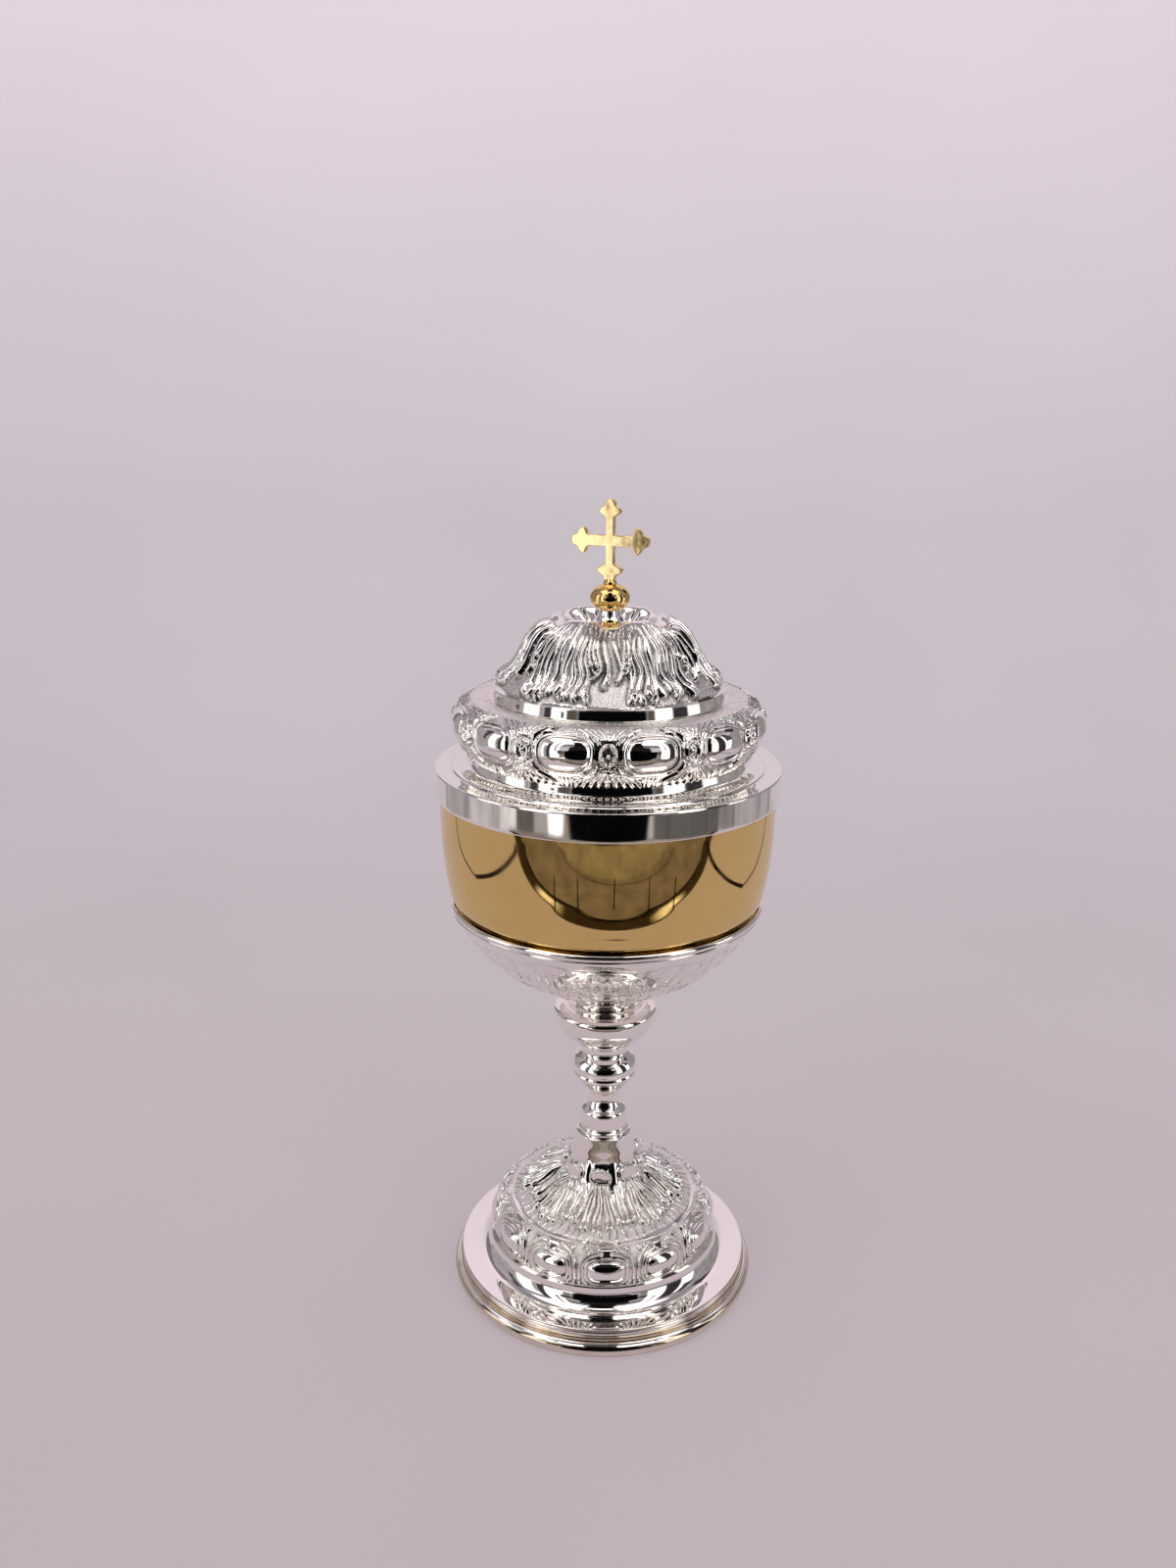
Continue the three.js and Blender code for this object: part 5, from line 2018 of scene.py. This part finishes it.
    def ceiling_boards(self) -> list[Board]:
        """Lamps overhead with dark gaps between them, and painted shade at the ceiling's sides.

        Returns:
            The boards.
        """
        boards = (
            ("left_ceiling_lamp", (-980, -250), (-900, 120), "FFFAFA", 1.9),
            ("right_ceiling_lamp", (215, 940), (-940, 90), "FFFAFA", 1.8),
            ("ceiling_gap", (-240, 200), (-960, -570), "1A1819", 1.0),
            ("ceiling_lamp", (-210, 170), (-530, -330), "FFFFFF", 2.0),
            ("ceiling_hatch", (-170, 130), (-300, 40), "2B292B", 1.0),
            ("ceiling_beam", (-1600, 1600), (-1500, -1280), "39363A", 1.0),
            ("ceiling_batten", (-1400, 1400), (-1120, -1000), "4B474B", 1.0),
            # painted shade at the ceiling's left and right sides
            ("ceiling_shade", (-1500, -1080), (-1200, 400), "A19C9E", 1.0),
            ("right_ceiling_shade", (1040, 1420), (-1200, 400), "A19C9E", 1.0),
            ("ceiling_back", (-1300, 1300), (260, 640), "8A8589", 1.0),
        )
        return [
            lying(name, x, y, colour, level=self.ceiling_level, strength=strength)
            for name, x, y, colour, strength in boards
        ]

    def paper(self) -> Material:
        """The sweep's paper, darker on the floor than on the wall and lighter at its top: painted shade and
        painted light on one sheet.

        Camera, mirror and glass rays see mostly its plain colour; the rest is lit and takes the
        object's shadow.

        Returns:
            The material.
        """
        material, tree = fresh("studio_paper")
        place = add(tree, "ShaderNodeTexCoord").outputs["Object"]
        parts = add(tree, "ShaderNodeSeparateXYZ", {"Vector": place}).outputs
        colour = linear(self.floor)
        # painted shade towards the floor and painted light towards the top of the wall
        for part, low, high, paint in (
            ("Y", -0.2, self.sweep_back * MM, self.wall),
            ("Z", 0.15 * self.sweep_rise * MM, 0.6 * self.sweep_rise * MM, self.top),
        ):
            share = add(tree, "ShaderNodeMapRange", {"Value": parts[part], "From Min": low, "From Max": high})
            shades = {"Factor": share.outputs["Result"], "A": colour, "B": linear(paint)}
            colour = add(tree, "ShaderNodeMix", shades, data_type="RGBA").outputs["Result"]
        spots = {"Vector": place, "Scale": scale_of(self.mottle), "Detail": 2.0}
        shade = add(tree, "ShaderNodeMapRange", {
            "Value": add(tree, "ShaderNodeTexNoise", spots).outputs["Fac"], "From Min": 0.3, "From Max": 0.7,
            "To Min": 0.975, "To Max": 1.015,
        }).outputs["Result"]
        colour = add(tree, "ShaderNodeVectorMath", {0: colour, 1: shade}, operation="MULTIPLY").outputs[0]
        rays = add(tree, "ShaderNodeLightPath").outputs
        seen = rays["Is Camera Ray"]
        for ray in ("Is Glossy Ray", "Is Transmission Ray"):
            seen = add(tree, "ShaderNodeMath", {0: seen, 1: rays[ray]}, operation="MAXIMUM").outputs[0]
        amount = add(tree, "ShaderNodeMath", {0: seen, 1: self.plain_share}, operation="MULTIPLY").outputs[0]
        lit = add(tree, "ShaderNodeBsdfDiffuse", {"Color": colour}).outputs["BSDF"]
        plain = add(tree, "ShaderNodeEmission", {"Color": colour, "Strength": 1.0}).outputs["Emission"]
        surface = add(tree, "ShaderNodeMixShader", {"Fac": amount, 1: lit, 2: plain}).outputs["Shader"]
        add(tree, "ShaderNodeOutputMaterial", {"Surface": surface})
        return material

    def glow(self, board: Board) -> Material:
        """What a board shows: its colour, a little uneven, as the things in a room are.

        Args:
            board: the board.

        Returns:
            The material.
        """
        material, tree = fresh(board.name)
        place = add(tree, "ShaderNodeTexCoord").outputs["Object"]
        spots = {"Vector": place, "Scale": scale_of(self.stain), "Detail": 3.0}
        strength = add(tree, "ShaderNodeMapRange", {
            "Value": add(tree, "ShaderNodeTexNoise", spots).outputs["Fac"], "From Min": 0.3, "From Max": 0.7,
            "To Min": 0.75 * board.strength, "To Max": 1.2 * board.strength,
        }).outputs["Result"]
        light = {"Color": linear(board.colour), "Strength": strength}
        shine = add(tree, "ShaderNodeEmission", light).outputs["Emission"]
        spread = add(tree, "ShaderNodeUVMap").outputs["UV"]
        parts = add(tree, "ShaderNodeSeparateXYZ", {"Vector": spread}).outputs
        for part, share in zip(("X", "Y"), board.fade):
            if share > 0:
                offset = {0: parts[part], 1: 0.5}
                middle = add(tree, "ShaderNodeMath", offset, operation="SUBTRACT").outputs[0]
                away = add(tree, "ShaderNodeMath", {0: middle}, operation="ABSOLUTE").outputs[0]
                edge = {"Value": away, "From Min": 0.5, "From Max": 0.5 - share}
                solid = add(tree, "ShaderNodeMapRange", edge, interpolation_type="SMOOTHSTEP")
                gone = add(tree, "ShaderNodeBsdfTransparent").outputs["BSDF"]
                layers = {"Fac": solid.outputs["Result"], 1: gone, 2: shine}
                shine = add(tree, "ShaderNodeMixShader", layers).outputs["Shader"]
        add(tree, "ShaderNodeOutputMaterial", {"Surface": shine})
        return material

    def hang(self, board: Board) -> None:
        """Makes a board that neither the camera nor the lamps see.

        Args:
            board: the board.
        """
        piece = mesh_object(board.name, board.corners, [[0, 1, 2, 3]], rounded=False)
        piece.data.uv_layers.new(name="UVMap").data.foreach_set("uv", (0, 0, 1, 0, 1, 1, 0, 1))
        piece.data.materials.append(self.glow(board))
        piece.visible_camera = False
        piece.visible_diffuse = False
        piece.visible_shadow = False

    def sweep(self) -> None:
        """The paper: a floor that bends up, on a quarter of a circle, into a wall behind the object."""
        back, bend = self.sweep_back, self.bend
        turn = np.radians(np.linspace(0, 90, 25))
        curve = np.column_stack([back - bend + bend * np.sin(turn), bend - bend * np.cos(turn)])
        section = np.vstack([[[-self.sweep_front, 0]], curve, [[back, self.sweep_rise]]])
        sides = np.tile([-self.sweep_half, self.sweep_half], len(section))
        points = np.column_stack([sides, np.repeat(section, 2, axis=0)])
        faces = 2 * np.arange(len(section) - 1)[:, None] + [0, 1, 3, 2]
        piece = mesh_object("paper_sweep", points, faces.tolist())
        piece.data.materials.append(self.paper())

    def lamps(self) -> None:
        """Two soft lamps beside the camera and a wide one overhead, which mirrors don't see."""
        for name, place, size, power in (
            ("left_lamp", (-760, -760, 620), 600, 4.0),
            ("right_lamp", (800, -700, 620), 600, 4.0),
            ("top_lamp", (0, 100, 1500), 1400, 11.0),
        ):
            light = bpy.data.lights.new(name, "AREA")
            light.size = size * MM
            light.energy = power
            lamp = bpy.data.objects.new(name, light)
            position = Vector(place) * MM
            aim = Vector((0, 0, self.lamp_aim * MM)) - position
            turn = aim.to_track_quat("-Z", "Y").to_matrix().to_4x4()
            lamp.matrix_world = Matrix.Translation(position) @ turn
            lamp.visible_glossy = False
            bpy.context.scene.collection.objects.link(lamp)

    def world(self) -> None:
        """A pale surround: wall-coloured at the horizon and greyer overhead."""
        world = bpy.data.worlds.new("studio_surround")
        world.use_nodes = True
        tree = world.node_tree
        tree.nodes.clear()
        direction = add(tree, "ShaderNodeTexCoord").outputs["Generated"]
        up = add(tree, "ShaderNodeSeparateXYZ", {"Vector": direction}).outputs["Z"]
        share = add(tree, "ShaderNodeMapRange", {"Value": up, "From Min": 0.35, "From Max": 0.9})
        shades = {"Factor": share.outputs["Result"], "A": linear(self.wall), "B": linear(self.ceiling)}
        tint = add(tree, "ShaderNodeMix", shades, data_type="RGBA").outputs["Result"]
        glow = add(tree, "ShaderNodeBackground", {"Color": tint, "Strength": 1.0}).outputs["Background"]
        add(tree, "ShaderNodeOutputWorld", {"Surface": glow})
        bpy.context.scene.world = world

    def build(self) -> None:
        """Sets the studio up."""
        self.sweep()
        for board in self.room():
            self.hang(board)
        self.lamps()
        self.world()
        bpy.context.scene.view_settings.view_transform = "Standard"


@dataclass(frozen=True)
class PhotoCamera:
    """The photograph's viewpoint, fitted to the ellipses of the rims on a 1200 x 1600 frame."""

    distance: float = 424.90
    height: float = 320.16
    focal_pixels: float = 1294.1
    long_side: float = 1600.0
    sensor: float = 36.0
    pitch: float = 16.562
    yaw: float = -0.932
    roll: float = 0.440

    def build(self) -> None:
        """Makes the camera and sets it as the scene's."""
        yaw, pitch, roll = (math.radians(angle) for angle in (self.yaw, self.pitch, self.roll))
        right = Vector((math.cos(yaw), -math.sin(yaw), 0))
        forward = Vector((
            math.cos(pitch) * math.sin(yaw), math.cos(pitch) * math.cos(yaw), -math.sin(pitch),
        ))
        up = Vector((math.sin(pitch) * math.sin(yaw), math.sin(pitch) * math.cos(yaw), math.cos(pitch)))
        across = math.cos(roll) * right + math.sin(roll) * up
        upward = -math.sin(roll) * right + math.cos(roll) * up
        turn = Matrix((across, upward, -forward)).transposed().to_4x4()
        data = bpy.data.cameras.new("photo_camera")
        data.sensor_fit = "AUTO"
        data.sensor_width = self.sensor
        data.lens = self.focal_pixels * self.sensor / self.long_side
        data.clip_start, data.clip_end = 0.01, 20.0
        camera = bpy.data.objects.new("photo_camera", data)
        camera.matrix_world = Matrix.Translation(Vector((0, -self.distance, self.height)) * MM) @ turn
        bpy.context.scene.collection.objects.link(camera)
        bpy.context.scene.camera = camera


def corners(bounds: tuple[Vector, Vector]) -> list[list[float]]:
    """A box's two corners as plain lists."""
    return [list(corner) for corner in bounds]


def main() -> None:
    """Builds the object, the studio and the camera."""
    logging.basicConfig(level=logging.INFO, format="%(name)s: %(message)s")
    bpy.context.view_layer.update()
    palette = Palette.made()
    for assembly in (Foot(palette), Stem(palette), Bowl(palette), Lid(palette), Finial(palette), Studio()):
        assembly.build()
        log.info("%s built", type(assembly).__name__)
    PhotoCamera().build()


if __name__ == "__main__":
    main()
